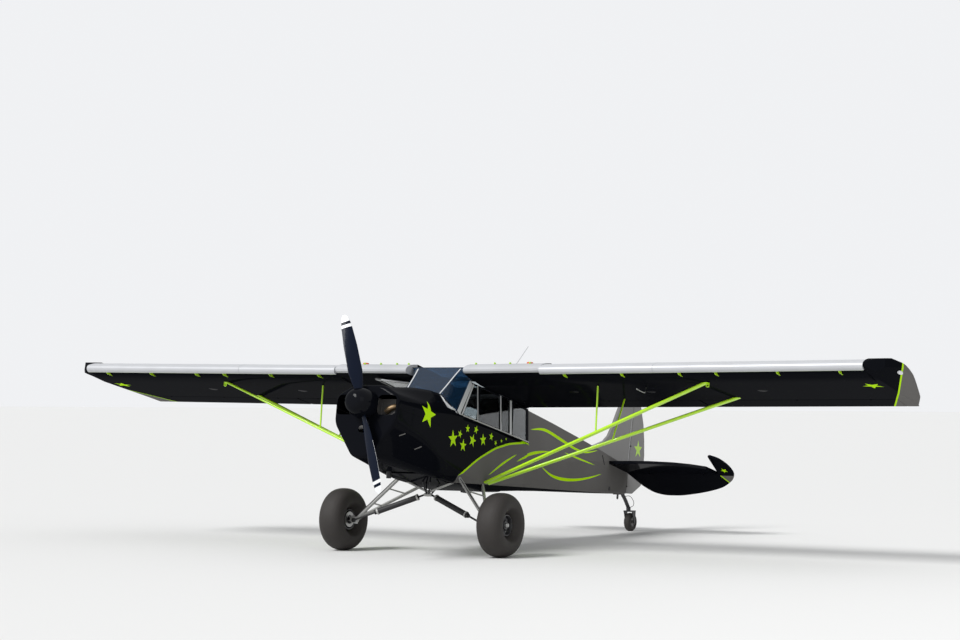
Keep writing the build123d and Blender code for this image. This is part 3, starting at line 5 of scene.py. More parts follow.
import logging
import math
from dataclasses import dataclass, replace
from enum import Enum
from typing import Callable, Sequence

import bmesh
import bpy
import numpy as np
from mathutils import Matrix, Vector
from mathutils.bvhtree import BVHTree


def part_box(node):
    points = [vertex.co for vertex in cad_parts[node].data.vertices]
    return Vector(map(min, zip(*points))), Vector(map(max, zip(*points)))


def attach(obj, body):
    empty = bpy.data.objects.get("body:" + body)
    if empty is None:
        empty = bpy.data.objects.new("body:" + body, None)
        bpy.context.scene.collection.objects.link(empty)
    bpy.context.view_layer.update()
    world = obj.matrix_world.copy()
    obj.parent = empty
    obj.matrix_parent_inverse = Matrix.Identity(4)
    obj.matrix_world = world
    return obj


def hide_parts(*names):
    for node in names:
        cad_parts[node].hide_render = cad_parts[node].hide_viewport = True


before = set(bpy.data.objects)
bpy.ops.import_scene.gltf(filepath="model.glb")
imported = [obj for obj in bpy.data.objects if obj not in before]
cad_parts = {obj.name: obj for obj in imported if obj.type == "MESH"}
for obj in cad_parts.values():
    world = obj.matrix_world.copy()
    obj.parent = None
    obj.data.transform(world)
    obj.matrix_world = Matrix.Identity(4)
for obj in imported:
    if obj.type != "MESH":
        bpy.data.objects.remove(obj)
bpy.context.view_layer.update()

LOG = logging.getLogger("microlight")
Array = np.ndarray
Socket = bpy.types.NodeSocket
Sockets = dict[str, Socket]
Piece = bpy.types.Object
# Colour of a paint, and its extra height or None
Paint = tuple[object, Socket | None]
Point = Sequence[float]
Pair = tuple[float, float]
Triple = tuple[float, float, float]
Quad = tuple[float, float, float, float]

PARK_ANGLE = math.radians(12.0)
DIHEDRAL = math.radians(0.54)
WING_ROOT_X = 0.340
SIDES = (("left", 1.0), ("right", -1.0))


class Body(Enum):
    """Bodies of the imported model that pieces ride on."""

    AIRFRAME = "airframe"
    PROPELLER = "propeller"
    WHEEL_LEFT = "wheel_left"
    WHEEL_RIGHT = "wheel_right"
    TAIL_FORK = "tail_fork"
    TAIL_WHEEL = "tail_wheel"
    AILERON_LEFT = "aileron_left"
    AILERON_RIGHT = "aileron_right"
    FLAP_LEFT = "flap_left"
    FLAP_RIGHT = "flap_right"
    ELEVATOR = "elevator"
    RUDDER = "rudder"
    DOOR_UPPER = "door_upper"
    DOOR_LOWER = "door_lower"


class Slot(Enum):
    """Material slots of the record."""

    BLACK = "black"
    BLADE = "blade"
    DARK = "dark"
    ENGINE = "engine"
    GLASS = "glass"
    GREY = "grey"
    LIME = "lime"
    RIM = "rim"
    SEAT = "seat"
    SILVER = "silver"
    TUBE = "tube"
    TYRE = "tyre"


# Placing pieces in the parked frame


def turned(y: Array, z: Array, angle: float) -> tuple[Array, Array]:
    """Turns y and z about X: y * cos + z * sin, and z * cos - y * sin."""
    cosine, sine = math.cos(angle), math.sin(angle)
    return y * cosine + z * sine, z * cosine - y * sine


@dataclass(frozen=True)
class Rigging:
    """The level rigging frame: origin on the main axle's middle, X to port, Y aft, Z up, in metres.

    The parked aircraft is that frame pitched nose-up about X and moved to the axle's place.
    """

    axle_y: float
    axle_z: float
    pitch: float = PARK_ANGLE

    @classmethod
    def from_wheels(cls) -> "Rigging":
        """Reads the axle's place from the middle of the port tyre."""
        low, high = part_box("tyre_left")
        return cls(axle_y=(low.y + high.y) / 2, axle_z=(low.z + high.z) / 2)

    def place(self, points: Array) -> Array:
        """Turns rigging points into parked ones: a turn by the parking angle, then the axle's place is added.

        Args:
            points: array whose last axis is x, y, z.

        Returns:
            A new array of the same shape.
        """
        placed = np.array(points, float)
        y, z = turned(placed[..., 1], placed[..., 2], self.pitch)
        placed[..., 1], placed[..., 2] = y + self.axle_y, z + self.axle_z
        return placed

    def level(self, points: Array) -> Array:
        """Turns parked points back into rigging ones, the reverse of place.

        Args:
            points: array whose last axis is x, y, z.

        Returns:
            A new array of the same shape.
        """
        back = np.array(points, float)
        y, z = back[..., 1] - self.axle_y, back[..., 2] - self.axle_z
        back[..., 1], back[..., 2] = turned(y, z, -self.pitch)
        return back

    def mapping(self) -> tuple[Triple, Triple]:
        """Location and rotation of a Mapping node that turns parked coordinates back into rigging ones."""
        y, z = turned(self.axle_y, self.axle_z, -self.pitch)
        return (0.0, -y, -z), (self.pitch, 0.0, 0.0)


RIG = Rigging.from_wheels()


# Meshes


def full_turn(steps: int) -> Array:
    """Evenly spaced angles once round, without the last."""
    return np.linspace(0, 2 * math.pi, steps, endpoint=False)


def signed_power(values: Array, power: float) -> Array:
    """Each value's size raised to a power with its sign kept, which squares or fills out a round section."""
    return np.sign(values) * np.abs(values) ** power


def flat_section(width: float, thick: float) -> tuple[Array, Array]:
    """Squared oval of a strip: width / 2 * cos t across, thick / 2 * sin t up, both raised to a low power."""
    t = full_turn(20)
    return width / 2 * signed_power(np.cos(t), 0.3), thick / 2 * signed_power(np.sin(t), 0.3)


def on_side(points: Sequence, hand: float) -> Array:
    """Port points for a side: x changes its sign where hand is -1."""
    return np.array(points, float) * np.array([hand, 1.0, 1.0])


def linked(name: str, data: bpy.types.ID) -> Piece:
    """New object of some data, linked to the scene."""
    made = bpy.data.objects.new(name, data)
    bpy.context.scene.collection.objects.link(made)
    return made


def shade(mesh: bpy.types.Mesh, angle: float) -> None:
    """Smooth shading everywhere, apart from edges sharper than an angle in degrees."""
    mesh.polygons.foreach_set("use_smooth", np.ones(len(mesh.polygons), bool))
    mesh.set_sharp_from_angle(angle=math.radians(angle))


def soften(piece: Piece, width: float, segments: int, angle: float) -> None:
    """Bevels edges sharper than an angle in degrees, unless the width is zero, and evens the shading."""
    if width:
        bevel = piece.modifiers.new("soft_edges", "BEVEL")
        bevel.width = width
        bevel.segments = segments
        bevel.limit_method = "ANGLE"
        bevel.angle_limit = math.radians(angle)
    weighted = piece.modifiers.new("even_shading", "WEIGHTED_NORMAL")
    weighted.keep_sharp = True


def new_piece(name: str, points: Array, faces: Sequence[Sequence[int]], angle: float = 35.0) -> Piece:
    """Makes a smooth-shaded object from points and faces, with outward normals.

    Args:
        name: name of the piece.
        points: array (n, 3) in the parked frame.
        faces: corner numbers of each face.
        angle: edges sharper than this many degrees stay crisp.

    Returns:
        The object, linked to the scene.
    """
    mesh = bpy.data.meshes.new(name)
    mesh.from_pydata(points.reshape(-1, 3).tolist(), [], [list(map(int, face)) for face in faces])
    form = bmesh.new()
    form.from_mesh(mesh)
    bmesh.ops.remove_doubles(form, verts=form.verts, dist=1e-6)
    bmesh.ops.recalc_face_normals(form, faces=form.faces)
    form.to_mesh(mesh)
    form.free()
    shade(mesh, angle)
    return linked(name, mesh)


def grid_faces(rows: int, columns: int, loop_rows: bool = False, loop_columns: bool = True) -> Array:
    """Corner numbers of a grid's quads, each joining a point, its next in the row and the two below them."""
    row = np.arange(rows if loop_rows else rows - 1)[:, None]
    column = np.arange(columns if loop_columns else columns - 1)[None, :]
    below, beside = (row + 1) % rows, (column + 1) % columns
    here, under = row * columns, below * columns
    corners = [here + column, here + beside, under + beside, under + column]
    return np.stack([np.broadcast_to(c, (row.size, column.size)) for c in corners], -1).reshape(-1, 4)


def loft(name: str, rings: Array, angle: float = 35.0, ring_closed: bool = False) -> Piece:
    """Skins closed rings one after another, and closes both ends with a fan about each end ring's middle.

    Args:
        name: name of the piece.
        rings: array (rings, points, 3) in the parked frame.
        angle: crisp-edge angle in degrees.
        ring_closed: True where the last ring joins the first, as on a tyre.

    Returns:
        The object.
    """
    count, steps = rings.shape[:2]
    faces = grid_faces(count, steps, loop_rows=ring_closed).tolist()
    points = rings.reshape(-1, 3)
    if not ring_closed:
        middles = np.stack([rings[0].mean(0), rings[-1].mean(0)])
        points = np.concatenate([points, middles])
        around = np.arange(steps)
        beside = (around + 1) % steps
        first = np.stack([beside, around, np.full(steps, count * steps)], -1)
        end = (count - 1) * steps
        last = np.stack([around + end, beside + end, np.full(steps, count * steps + 1)], -1)
        faces += first.tolist() + last.tolist()
    return new_piece(name, points, faces, angle)


def lathe(
    name: str,
    profile: Sequence[Pair],
    centre: Point,
    axis: Point,
    steps: int = 64,
    angle: float = 30.0,
    closed: bool = False,
) -> Piece:
    """Turns a profile about an axis: point = centre + axis * along + radius * (cos t * side + sin t * up).

    Args:
        name: name of the piece.
        profile: rows of (radius, distance along the axis), in metres.
        centre: point of the axis in the rigging frame.
        axis: direction of the axis in the rigging frame.
        steps: points around.
        angle: crisp-edge angle in degrees.
        closed: True where the profile closes on itself.

    Returns:
        The object, in the parked frame.
    """
    rows = np.array(profile, float)
    run = np.array(axis, float) / np.linalg.norm(axis)
    helper = np.array([0.0, 0.0, 1.0]) if abs(run[2]) < 0.9 else np.array([0.0, 1.0, 0.0])
    side = np.cross(helper, run)
    side /= np.linalg.norm(side)
    up = np.cross(run, side)
    turn = full_turn(steps)
    spokes = np.cos(turn)[:, None] * side + np.sin(turn)[:, None] * up
    rings = np.array(centre, float) + rows[:, 1, None, None] * run + rows[:, 0, None, None] * spokes[None]
    return loft(name, RIG.place(rings), angle, ring_closed=closed)


def swept(
    name: str, path: Array, radius: float | Array, steps: int = 14, flat: float = 1.0, up: Point = (0, 0, 1)
) -> Piece:
    """Carries an oval section along a path: ring = path + radius * (cos t * side + flat * sin t * upward).

    Args:
        name: name of the piece.
        path: array (n, 3) in the rigging frame.
        radius: one radius, or one for each point.
        steps: points around.
        flat: height of the section as a part of its width.
        up: direction that the section's short way leans to.

    Returns:
        The object, in the parked frame.
    """
    line = np.array(path, float)
    tangent = np.gradient(line, axis=0)
    tangent /= np.linalg.norm(tangent, axis=1)[:, None]
    side = np.cross(np.array(up, float), tangent)
    side /= np.linalg.norm(side, axis=1)[:, None]
    upward = np.cross(tangent, side)
    turn = full_turn(steps)
    size = np.broadcast_to(np.asarray(radius, float), (len(line),))[:, None, None]
    rings = line[:, None] + size * (
        np.cos(turn)[None, :, None] * side[:, None] + flat * np.sin(turn)[None, :, None] * upward[:, None]
    )
    return loft(name, RIG.place(rings))


def curve_through(points: Sequence[Point], count: int = 24) -> Array:
    """Smooth path through a few points: each run is a Catmull-Rom cubic of its four nearest points.

    Args:
        points: corners in the rigging frame.
        count: points of the path on each run.

    Returns:
        Array (n, 3).
    """
    knots = np.array(points, float)
    ends = np.concatenate([[2 * knots[0] - knots[1]], knots, [2 * knots[-1] - knots[-2]]])
    t = np.linspace(0, 1, count, endpoint=False)[None, :, None]
    a, b, c, d = ends[:-3, None], ends[1:-2, None], ends[2:-1, None], ends[3:, None]
    runs = 0.5 * (2 * b + (c - a) * t + (2 * a - 5 * b + 4 * c - d) * t**2 + (3 * b - a - 3 * c + d) * t**3)
    return np.concatenate([runs.reshape(-1, 3), knots[-1:]])


def rounded_block(name: str, centre: Point, half: Point, squareness: float = 6.0, steps: int = 40) -> Piece:
    """Superellipsoid block: each direction (a, b, c) on a sphere is scaled until |x|^n + |y|^n + |z|^n is 1.

    Args:
        name: name of the piece.
        centre: middle in the rigging frame.
        half: half sizes along x, y and z.
        squareness: the power n; 2 gives an ellipsoid and more gives a squarer block.
        steps: points around.

    Returns:
        The object, in the parked frame.
    """
    v = np.linspace(-math.pi / 2, math.pi / 2, steps // 2 + 1)[:, None]
    u = full_turn(steps)[None, :]
    ray = np.stack(np.broadcast_arrays(np.cos(v) * np.cos(u), np.cos(v) * np.sin(u), np.sin(v)), -1)
    reach = (np.abs(ray) ** squareness).sum(-1, keepdims=True) ** (-1 / squareness)
    shape = ray * reach * np.array(half, float)
    return loft(name, RIG.place(shape + np.array(centre, float)), 60.0)


def smoothed_copy(node: str, name: str, angle: float = 32.0, edge: float = 0.0) -> Piece:
    """Merged copy of a CAD node with smooth shading between its crisp edges.

    Args:
        node: the CAD node.
        name: name of the new piece.
        angle: edges sharper than this many degrees stay crisp.
        edge: width of a small bevel on those edges, in metres; zero leaves them.

    Returns:
        The object, which still has to replace the node.
    """
    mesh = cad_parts[node].data.copy()
    mesh.name = name
    mesh.materials.clear()
    form = bmesh.new()
    form.from_mesh(mesh)
    bmesh.ops.remove_doubles(form, verts=form.verts, dist=2e-5)
    bmesh.ops.dissolve_limit(form, angle_limit=math.radians(0.4), verts=form.verts, edges=form.edges)
    form.to_mesh(mesh)
    form.free()
    shade(mesh, angle)
    piece = linked(name, mesh)
    soften(piece, edge, 2, angle + 6)
    return piece


def carved(piece: Piece, cutters: Sequence[Piece], angle: float = 35.0) -> Piece:
    """Takes closed cutters out of a closed piece, keeps the result as its mesh and removes the cutters.

    Args:
        piece: the piece to cut.
        cutters: closed pieces, each used once.
        angle: crisp-edge angle in degrees of the result.

    Returns:
        The same object.
    """
    for cutter in cutters:
        cut = piece.modifiers.new("cut", "BOOLEAN")
        cut.operation, cut.solver, cut.object = "DIFFERENCE", "EXACT", cutter
    mesh = bpy.data.meshes.new_from_object(piece.evaluated_get(bpy.context.evaluated_depsgraph_get()))
    piece.modifiers.clear()
    old, name = piece.data, piece.data.name
    piece.data = mesh
    bpy.data.meshes.remove(old)
    mesh.name = name
    mesh.materials.clear()
    shade(mesh, angle)
    for cutter in cutters:
        form = cutter.data
        bpy.data.objects.remove(cutter)
        bpy.data.meshes.remove(form)
    return piece


def block(name: str, low: Point, high: Point) -> Piece:
    """Plain box between two corners of the rigging frame."""
    (x0, y0, z0), (x1, y1, z1) = low, high
    ring = [(x0, y0), (x1, y0), (x1, y1), (x0, y1)]
    rings = np.array([[(x, y, z) for x, y in ring] for z in (z0, z1)])
    return loft(name, RIG.place(rings))


def smooth_rows(keys: Array, rows: Array, at: Array) -> Array:
    """Rows between key rows: each column is a cubic whose slopes are those of its neighbours' chords.

    Args:
        keys: rising key values.
        rows: array (keys, columns).
        at: values to read at.

    Returns:
        Array (at, columns).
    """
    steps = np.diff(keys)[:, None]
    chords = np.diff(rows, axis=0) / steps
    inner = (chords[:-1] * steps[1:] + chords[1:] * steps[:-1]) / (steps[1:] + steps[:-1])
    slopes = np.concatenate([chords[:1], inner, chords[-1:]])
    k = np.clip(np.searchsorted(keys, at) - 1, 0, len(keys) - 2)
    h = np.diff(keys)[k][:, None]
    t = ((at - keys[k]) / np.diff(keys)[k])[:, None]
    a, b = rows[k], rows[k + 1]
    return (
        (2 * t**3 - 3 * t**2 + 1) * a
        + (t**3 - 2 * t**2 + t) * h * slopes[k]
        + (3 * t**2 - 2 * t**3) * b
        + (t**3 - t**2) * h * slopes[k + 1]
    )


def rounded_rings(y: Array, corners: Array, radii: Array) -> Array:
    """Closed cross-sections whose half outlines turn each corner by an arc of its radius.

    An arc of radius r over a turn of angle w starts r * tan(w / 2) before its corner.

    Args:
        y: stations (rows).
        corners: half corners from top to bottom, array (rows, corners, 2) of x and z.
        radii: array (rows, corners).

    Returns:
        Array (rows, points, 3) in the rigging frame.
    """
    top, foot = corners[:, :1].copy(), corners[:, -1:].copy()
    top[..., 0] = foot[..., 0] = 0.0
    chain = np.concatenate([top, corners, foot], 1)
    runs = np.diff(chain, axis=1)
    runs /= np.linalg.norm(runs, axis=2, keepdims=True)
    into, out = runs[:, :-1], runs[:, 1:]
    turn = np.arccos(np.clip((into * out).sum(2), -1, 1))
    reach = (radii * np.tan(turn / 2))[..., None]
    start, end = corners - into * reach, corners + out * reach
    inward = (out - into * (into * out).sum(2, keepdims=True)) / np.sin(turn)[..., None]
    middle = start + inward * radii[..., None]
    share = np.linspace(0, 1, 10)[None, None, :, None]
    spin = turn[:, :, None, None] * share
    arcs = middle[:, :, None] + radii[:, :, None, None] * (
        np.sin(spin) * into[:, :, None] - np.cos(spin) * inward[:, :, None]
    )
    pieces = []
    flat = np.linspace(0, 1, 6)[None, 1:-1, None]
    before = np.concatenate([top, end], 1)
    after = np.concatenate([start, foot], 1)
    for k in range(corners.shape[1] + 1):
        pieces.append(before[:, k : k + 1] + (after - before)[:, k : k + 1] * flat)
        if k < corners.shape[1]:
            pieces.append(arcs[:, k])
    half = np.concatenate([top, *pieces, foot], 1)
    ring = np.concatenate([half, half[:, -2:0:-1] * np.array([-1.0, 1.0])], 1)
    station = np.broadcast_to(y[:, None], ring.shape[:2])
    return np.stack([ring[..., 0], station, ring[..., 1]], -1)


class Drape:
    """Finds the nearest place on finished pieces, so that trim lies on them."""

    def __init__(self, *names: str) -> None:
        """Keeps one search tree for each named piece."""
        graph = bpy.context.evaluated_depsgraph_get()
        self.trees = [BVHTree.FromObject(bpy.data.objects[name], graph) for name in names]

    def on(self, points: Array) -> tuple[Array, Array]:
        """Nearest places and outward normals of parked points."""
        places, normals = [], []
        for point in points:
            hits = [tree.find_nearest(Vector(point)) for tree in self.trees]
            place, normal, _, _ = min(hits, key=lambda hit: hit[3])
            places.append(tuple(place))
            normals.append(tuple(normal))
        return np.array(places), np.array(normals)

    def band(self, name: str, path: Array, width: float, thick: float) -> Piece:
        """Flat strip that follows the surface along a path: a squared oval carried on the surface's normals.

        Args:
            name: name of the piece.
            path: array (n, 3) in the rigging frame.
            width: full width.
            thick: full thickness, half of it below the surface.

        Returns:
            The object, in the parked frame.
        """
        places, normals = self.on(RIG.place(path))
        for _ in range(3):
            padded = np.concatenate([normals[:1], normals, normals[-1:]])
            normals = padded[:-2] + 2 * padded[1:-1] + padded[2:]
            normals /= np.linalg.norm(normals, axis=1)[:, None]
        tangent = np.gradient(places, axis=0)
        side = np.cross(normals, tangent)
        side /= np.linalg.norm(side, axis=1)[:, None]
        across, up = flat_section(width, thick)
        rings = places[:, None] + across[None, :, None] * side[:, None] + up[None, :, None] * normals[:, None]
        return loft(name, rings, 30.0)


# Shader nodes


class Tree:
    """Short ways of putting nodes in a shader node tree."""

    def __init__(self, tree: bpy.types.NodeTree) -> None:
        """Keeps the tree that the nodes go into."""
        self.tree = tree

    def put(self, kind: str, **settings: object) -> bpy.types.Node:
        """Adds a node and sets its plain properties."""
        node = self.tree.nodes.new(kind)
        for name, value in settings.items():
            setattr(node, name, value)
        return node

    def feed(self, socket: Socket, value: object) -> None:
        """Links a socket to another's output, or sets its own value."""
        if isinstance(value, bpy.types.NodeSocket):
            self.tree.links.new(value, socket)
        else:
            socket.default_value = value

    def sum(self, operation: str, *values: object, clamp: bool = False) -> Socket:
        """Output of a Math node."""
        node = self.put("ShaderNodeMath", operation=operation, use_clamp=clamp)
        for socket, value in zip(node.inputs, values):
            self.feed(socket, value)
        return node.outputs[0]

    def vector(self, operation: str, *values: object) -> Socket:
        """Output of a Vector Math node: a number for a length or dot product, else a vector."""
        node = self.put("ShaderNodeVectorMath", operation=operation)
        for socket, value in zip(node.inputs, values):
            self.feed(socket, value)
        return node.outputs["Value" if operation in ("LENGTH", "DOT_PRODUCT", "DISTANCE") else "Vector"]

    def blend(self, mask: object, under: object, over: object) -> Socket:
        """Colour that goes from under to over as the mask goes from 0 to 1."""
        node = self.put("ShaderNodeMix", data_type="RGBA")
        self.feed(node.inputs[0], mask)
        self.feed(node.inputs[6], under)
        self.feed(node.inputs[7], over)
        return node.outputs[2]

    def split(self, vector: Socket) -> tuple[Socket, Socket, Socket]:
        """The x, y and z of a vector."""
        node = self.put("ShaderNodeSeparateXYZ")
        self.feed(node.inputs[0], vector)
        return node.outputs[0], node.outputs[1], node.outputs[2]

    def join(self, x: object, y: object, z: object) -> Socket:
        """A vector of three numbers."""
        node = self.put("ShaderNodeCombineXYZ")
        for socket, value in zip(node.inputs, (x, y, z)):
            self.feed(socket, value)
        return node.outputs[0]

    def noise(self, vector: object, scale: float, detail: float = 3.0) -> Socket:
        """Plain fractal noise between 0 and 1."""
        return self.set(self.put("ShaderNodeTexNoise"), Vector=vector, Scale=scale, Detail=detail).outputs[0]

    def read_curve(self, share: Socket, places: Array, values: Array) -> Socket:
        """Value at a share from 0 to 1, straight between given places."""
        node = self.put("ShaderNodeFloatCurve")
        self.feed(node.inputs["Value"], share)
        low = float(values.min())
        span = max(float(values.max()) - low, 1e-6)
        rows = [(float(a), (float(b) - low) / span) for a, b in zip(places, values)]
        points = node.mapping.curves[0].points
        points[0].location, points[1].location = rows[0], rows[-1]
        for row in rows[1:-1]:
            points.new(*row)
        for point in points:
            point.handle_type = "VECTOR"
        node.mapping.update()
        return self.sum("MULTIPLY_ADD", node.outputs[0], span, low)

    def set(self, node: bpy.types.Node, **values: object) -> bpy.types.Node:
        """Feeds a node's inputs by name, an underscore for a space, and gives the node back."""
        for name, value in values.items():
            self.feed(node.inputs[name.replace("_", " ")], value)
        return node

    def use(self, group: bpy.types.NodeTree, **values: object) -> bpy.types.Node:
        """Places a shared node group and feeds its inputs by name."""
        return self.set(self.put("ShaderNodeGroup", node_tree=group), **values)


KINDS = {"vector": "NodeSocketVector", "colour": "NodeSocketColor", "number": "NodeSocketFloat"}
GROUPS: dict[str, bpy.types.NodeTree] = {}


def shared_group(
    name: str, inputs: dict[str, str], outputs: dict[str, str], fill: Callable[[Tree, Sockets], dict]
) -> bpy.types.NodeTree:
    """Builds a node group once and gives it back after that.

    Args:
        name: name of the group.
        inputs: input names and kinds.
        outputs: output names and kinds.
        fill: makes the inner nodes from the input sockets and returns the output sockets by name.

    Returns:
        The group's tree.
    """
    if name not in GROUPS:
        tree = bpy.data.node_groups.new(name, "ShaderNodeTree")
        for label, kind in inputs.items():
            tree.interface.new_socket(label, in_out="INPUT", socket_type=KINDS[kind])
        for label, kind in outputs.items():
            tree.interface.new_socket(label, in_out="OUTPUT", socket_type=KINDS[kind])
        inner = Tree(tree)
        source, sink = inner.put("NodeGroupInput"), inner.put("NodeGroupOutput")
        results = fill(inner, {label: source.outputs[label] for label in inputs})
        for label, socket in results.items():
            inner.feed(sink.inputs[label], socket)
        GROUPS[name] = tree
    return GROUPS[name]


def surface_wear() -> bpy.types.NodeTree:
    """Colour mottling, roughness variation and a fine relief, from three noises of one vector."""

    def fill(t: Tree, given: Sockets) -> Sockets:
        place = t.vector("SCALE", given["Vector"])
        t.feed(place.node.inputs["Scale"], given["Scale"])
        broad, fine = t.noise(place, 1.0, 4.0), t.noise(place, 9.0, 2.0)
        tint = t.sum("MULTIPLY_ADD", t.sum("SUBTRACT", broad, 0.5), given["Mottling"], 1.0)
        colour = t.vector("SCALE", given["Colour"])
        t.feed(colour.node.inputs["Scale"], tint)
        rough = t.sum("MULTIPLY_ADD", t.sum("SUBTRACT", broad, 0.5), 0.16, given["Roughness"], clamp=True)
        return {"Colour": colour, "Roughness": rough, "Height": fine}

    sizes = dict.fromkeys(("Scale", "Mottling", "Roughness"), "number")
    results = {"Colour": "colour", "Roughness": "number", "Height": "number"}
    return shared_group("surface_wear", {"Vector": "vector", "Colour": "colour", **sizes}, results, fill)


def rigging_space() -> bpy.types.NodeTree:
    """Parked coordinates turned back into the rigging frame, so that paint lines run along the fuselage."""

    def fill(t: Tree, given: Sockets) -> Sockets:
        location, rotation = RIG.mapping()
        node = t.put("ShaderNodeMapping", vector_type="POINT")
        t.set(node, Vector=given["Vector"], Location=location, Rotation=rotation)
        return {"Vector": node.outputs[0]}

    return shared_group("rigging_space", {"Vector": "vector"}, {"Vector": "vector"}, fill)


# Width in metres over which the edge of a painted shape goes from 0 to 1
EDGE_BLUR = 0.0016


def star_mask() -> bpy.types.NodeTree:
    """Five-pointed star seen from the side: the angle folds into a tenth, and one straight edge bounds it."""
    tenth = math.pi / 5
    inner = 0.40
    edge = np.array([inner * math.cos(tenth) - 1.0, inner * math.sin(tenth)])
    normal = np.array([edge[1], -edge[0]]) / np.linalg.norm(edge)

    def fill(t: Tree, given: Sockets) -> Sockets:
        _, y, z = t.split(given["Vector"])
        dy, dz = t.sum("SUBTRACT", y, given["Centre Y"]), t.sum("SUBTRACT", z, given["Centre Z"])
        turn = t.sum("ADD", t.sum("ARCTAN2", dy, dz), given["Turn"])
        folded = t.sum("MODULO", t.sum("ADD", turn, 11 * tenth), 2 * tenth)
        offset = t.sum("ABSOLUTE", t.sum("SUBTRACT", folded, tenth))
        reach = t.sum("SQRT", t.sum("ADD", t.sum("MULTIPLY", dy, dy), t.sum("MULTIPLY", dz, dz)))
        along = t.sum("SUBTRACT", t.sum("MULTIPLY", reach, t.sum("COSINE", offset)), given["Radius"])
        across = t.sum("MULTIPLY", reach, t.sum("SINE", offset))
        sideways = t.sum("MULTIPLY", across, float(normal[1]))
        distance = t.sum("ADD", t.sum("MULTIPLY", along, float(normal[0])), sideways)
        return {"Mask": t.sum("MULTIPLY_ADD", distance, -1 / EDGE_BLUR, 0.5, clamp=True)}

    sizes = dict.fromkeys(("Centre Y", "Centre Z", "Radius", "Turn"), "number")
    return shared_group("star_mask", {"Vector": "vector", **sizes}, {"Mask": "number"}, fill)


def past(t: Tree, distance: Socket) -> Socket:
    """Mask that goes from 0 to 1 as a distance in metres rises above 0, with a narrow soft edge."""
    return t.sum("DIVIDE", distance, EDGE_BLUR, clamp=True)


def cover(t: Tree, value: object, least: object) -> Socket:
    """Mask that is 1 where a value is above its least, and 0 below."""
    return past(t, t.sum("SUBTRACT", value, least))


def line(t: Tree, distance: Socket, half: float) -> Socket:
    """Mask of a painted line: 1 within its half width, by the distance from its middle."""
    return past(t, t.sum("SUBTRACT", half, t.sum("ABSOLUTE", distance)))


def level_axes(t: Tree, place: Socket) -> tuple[Socket, Socket, Socket, Socket]:
    """The place in the level rigging frame, and its x, y and z."""
    level = t.use(rigging_space(), Vector=place).outputs[0]
    return (level, *t.split(level))


def star(t: Tree, vector: Socket, row: Quad) -> Socket:
    """Mask of a star on a vector's y and z, from its centre there, its radius and its turn in degrees."""
    y, z, radius, turn = row
    node = t.use(star_mask(), Vector=vector, Centre_Y=y, Centre_Z=z, Radius=radius, Turn=math.radians(turn))
    return node.outputs[0]


def root_height(t: Tree, out: Socket, z: Socket) -> Socket:
    """Height less what the dihedral adds at a distance out from the middle."""
    return t.sum("SUBTRACT", z, t.sum("MULTIPLY", t.sum("SUBTRACT", out, WING_ROOT_X), math.tan(DIHEDRAL)))


def stripe(t: Tree, along: Socket, across: Socket, rows: Array) -> tuple[Socket, Socket]:
    """Painted stripe on a curve: its middle and its half width are both read off the coordinate along it.

    Args:
        t: the material's tree.
        along: the coordinate that rises from one end to the other.
        across: the other coordinate.
        rows: array (n, 3) of along, across and half width square to the stripe.

    Returns:
        The stripe's mask, and the middle's place across.
    """
    slope = np.gradient(rows[:, 1], rows[:, 0])
    half = rows[:, 2] * np.sqrt(1 + slope**2)
    half[0] = half[-1] = 0.0
    low, high = float(rows[0, 0]), float(rows[-1, 0])
    share = t.sum("DIVIDE", t.sum("SUBTRACT", along, low), high - low, clamp=True)
    places = (rows[:, 0] - low) / (high - low)
    middle = t.read_curve(share, places, rows[:, 1])
    off = t.sum("ABSOLUTE", t.sum("SUBTRACT", across, middle))
    return past(t, t.sum("SUBTRACT", t.read_curve(share, places, half), off)), middle


def seam_lines() -> bpy.types.NodeTree:
    """Evenly spaced lines along one coordinate: 1 on a line and 0 between, by the nearest one's distance."""

    def fill(t: Tree, given: Sockets) -> Sockets:
        steps = t.sum("DIVIDE", given["Along"], given["Spacing"])
        off = t.sum("ABSOLUTE", t.sum("SUBTRACT", t.sum("FRACT", steps), 0.5))
        near = t.sum("MULTIPLY", t.sum("SUBTRACT", 0.5, off), given["Spacing"])
        mask = t.sum("SUBTRACT", 1.0, t.sum("DIVIDE", near, given["Width"]), clamp=True)
        return {"Mask": mask}

    sizes = dict.fromkeys(("Along", "Spacing", "Width"), "number")
    return shared_group("seam_lines", sizes, {"Mask": "number"}, fill)


def new_material(name: str) -> tuple[bpy.types.Material, Tree, bpy.types.Node]:
    """A new material, its node tree and its Principled shader."""
    material = bpy.data.materials.new(name)
    material.use_nodes = True
    return material, Tree(material.node_tree), material.node_tree.nodes["Principled BSDF"]


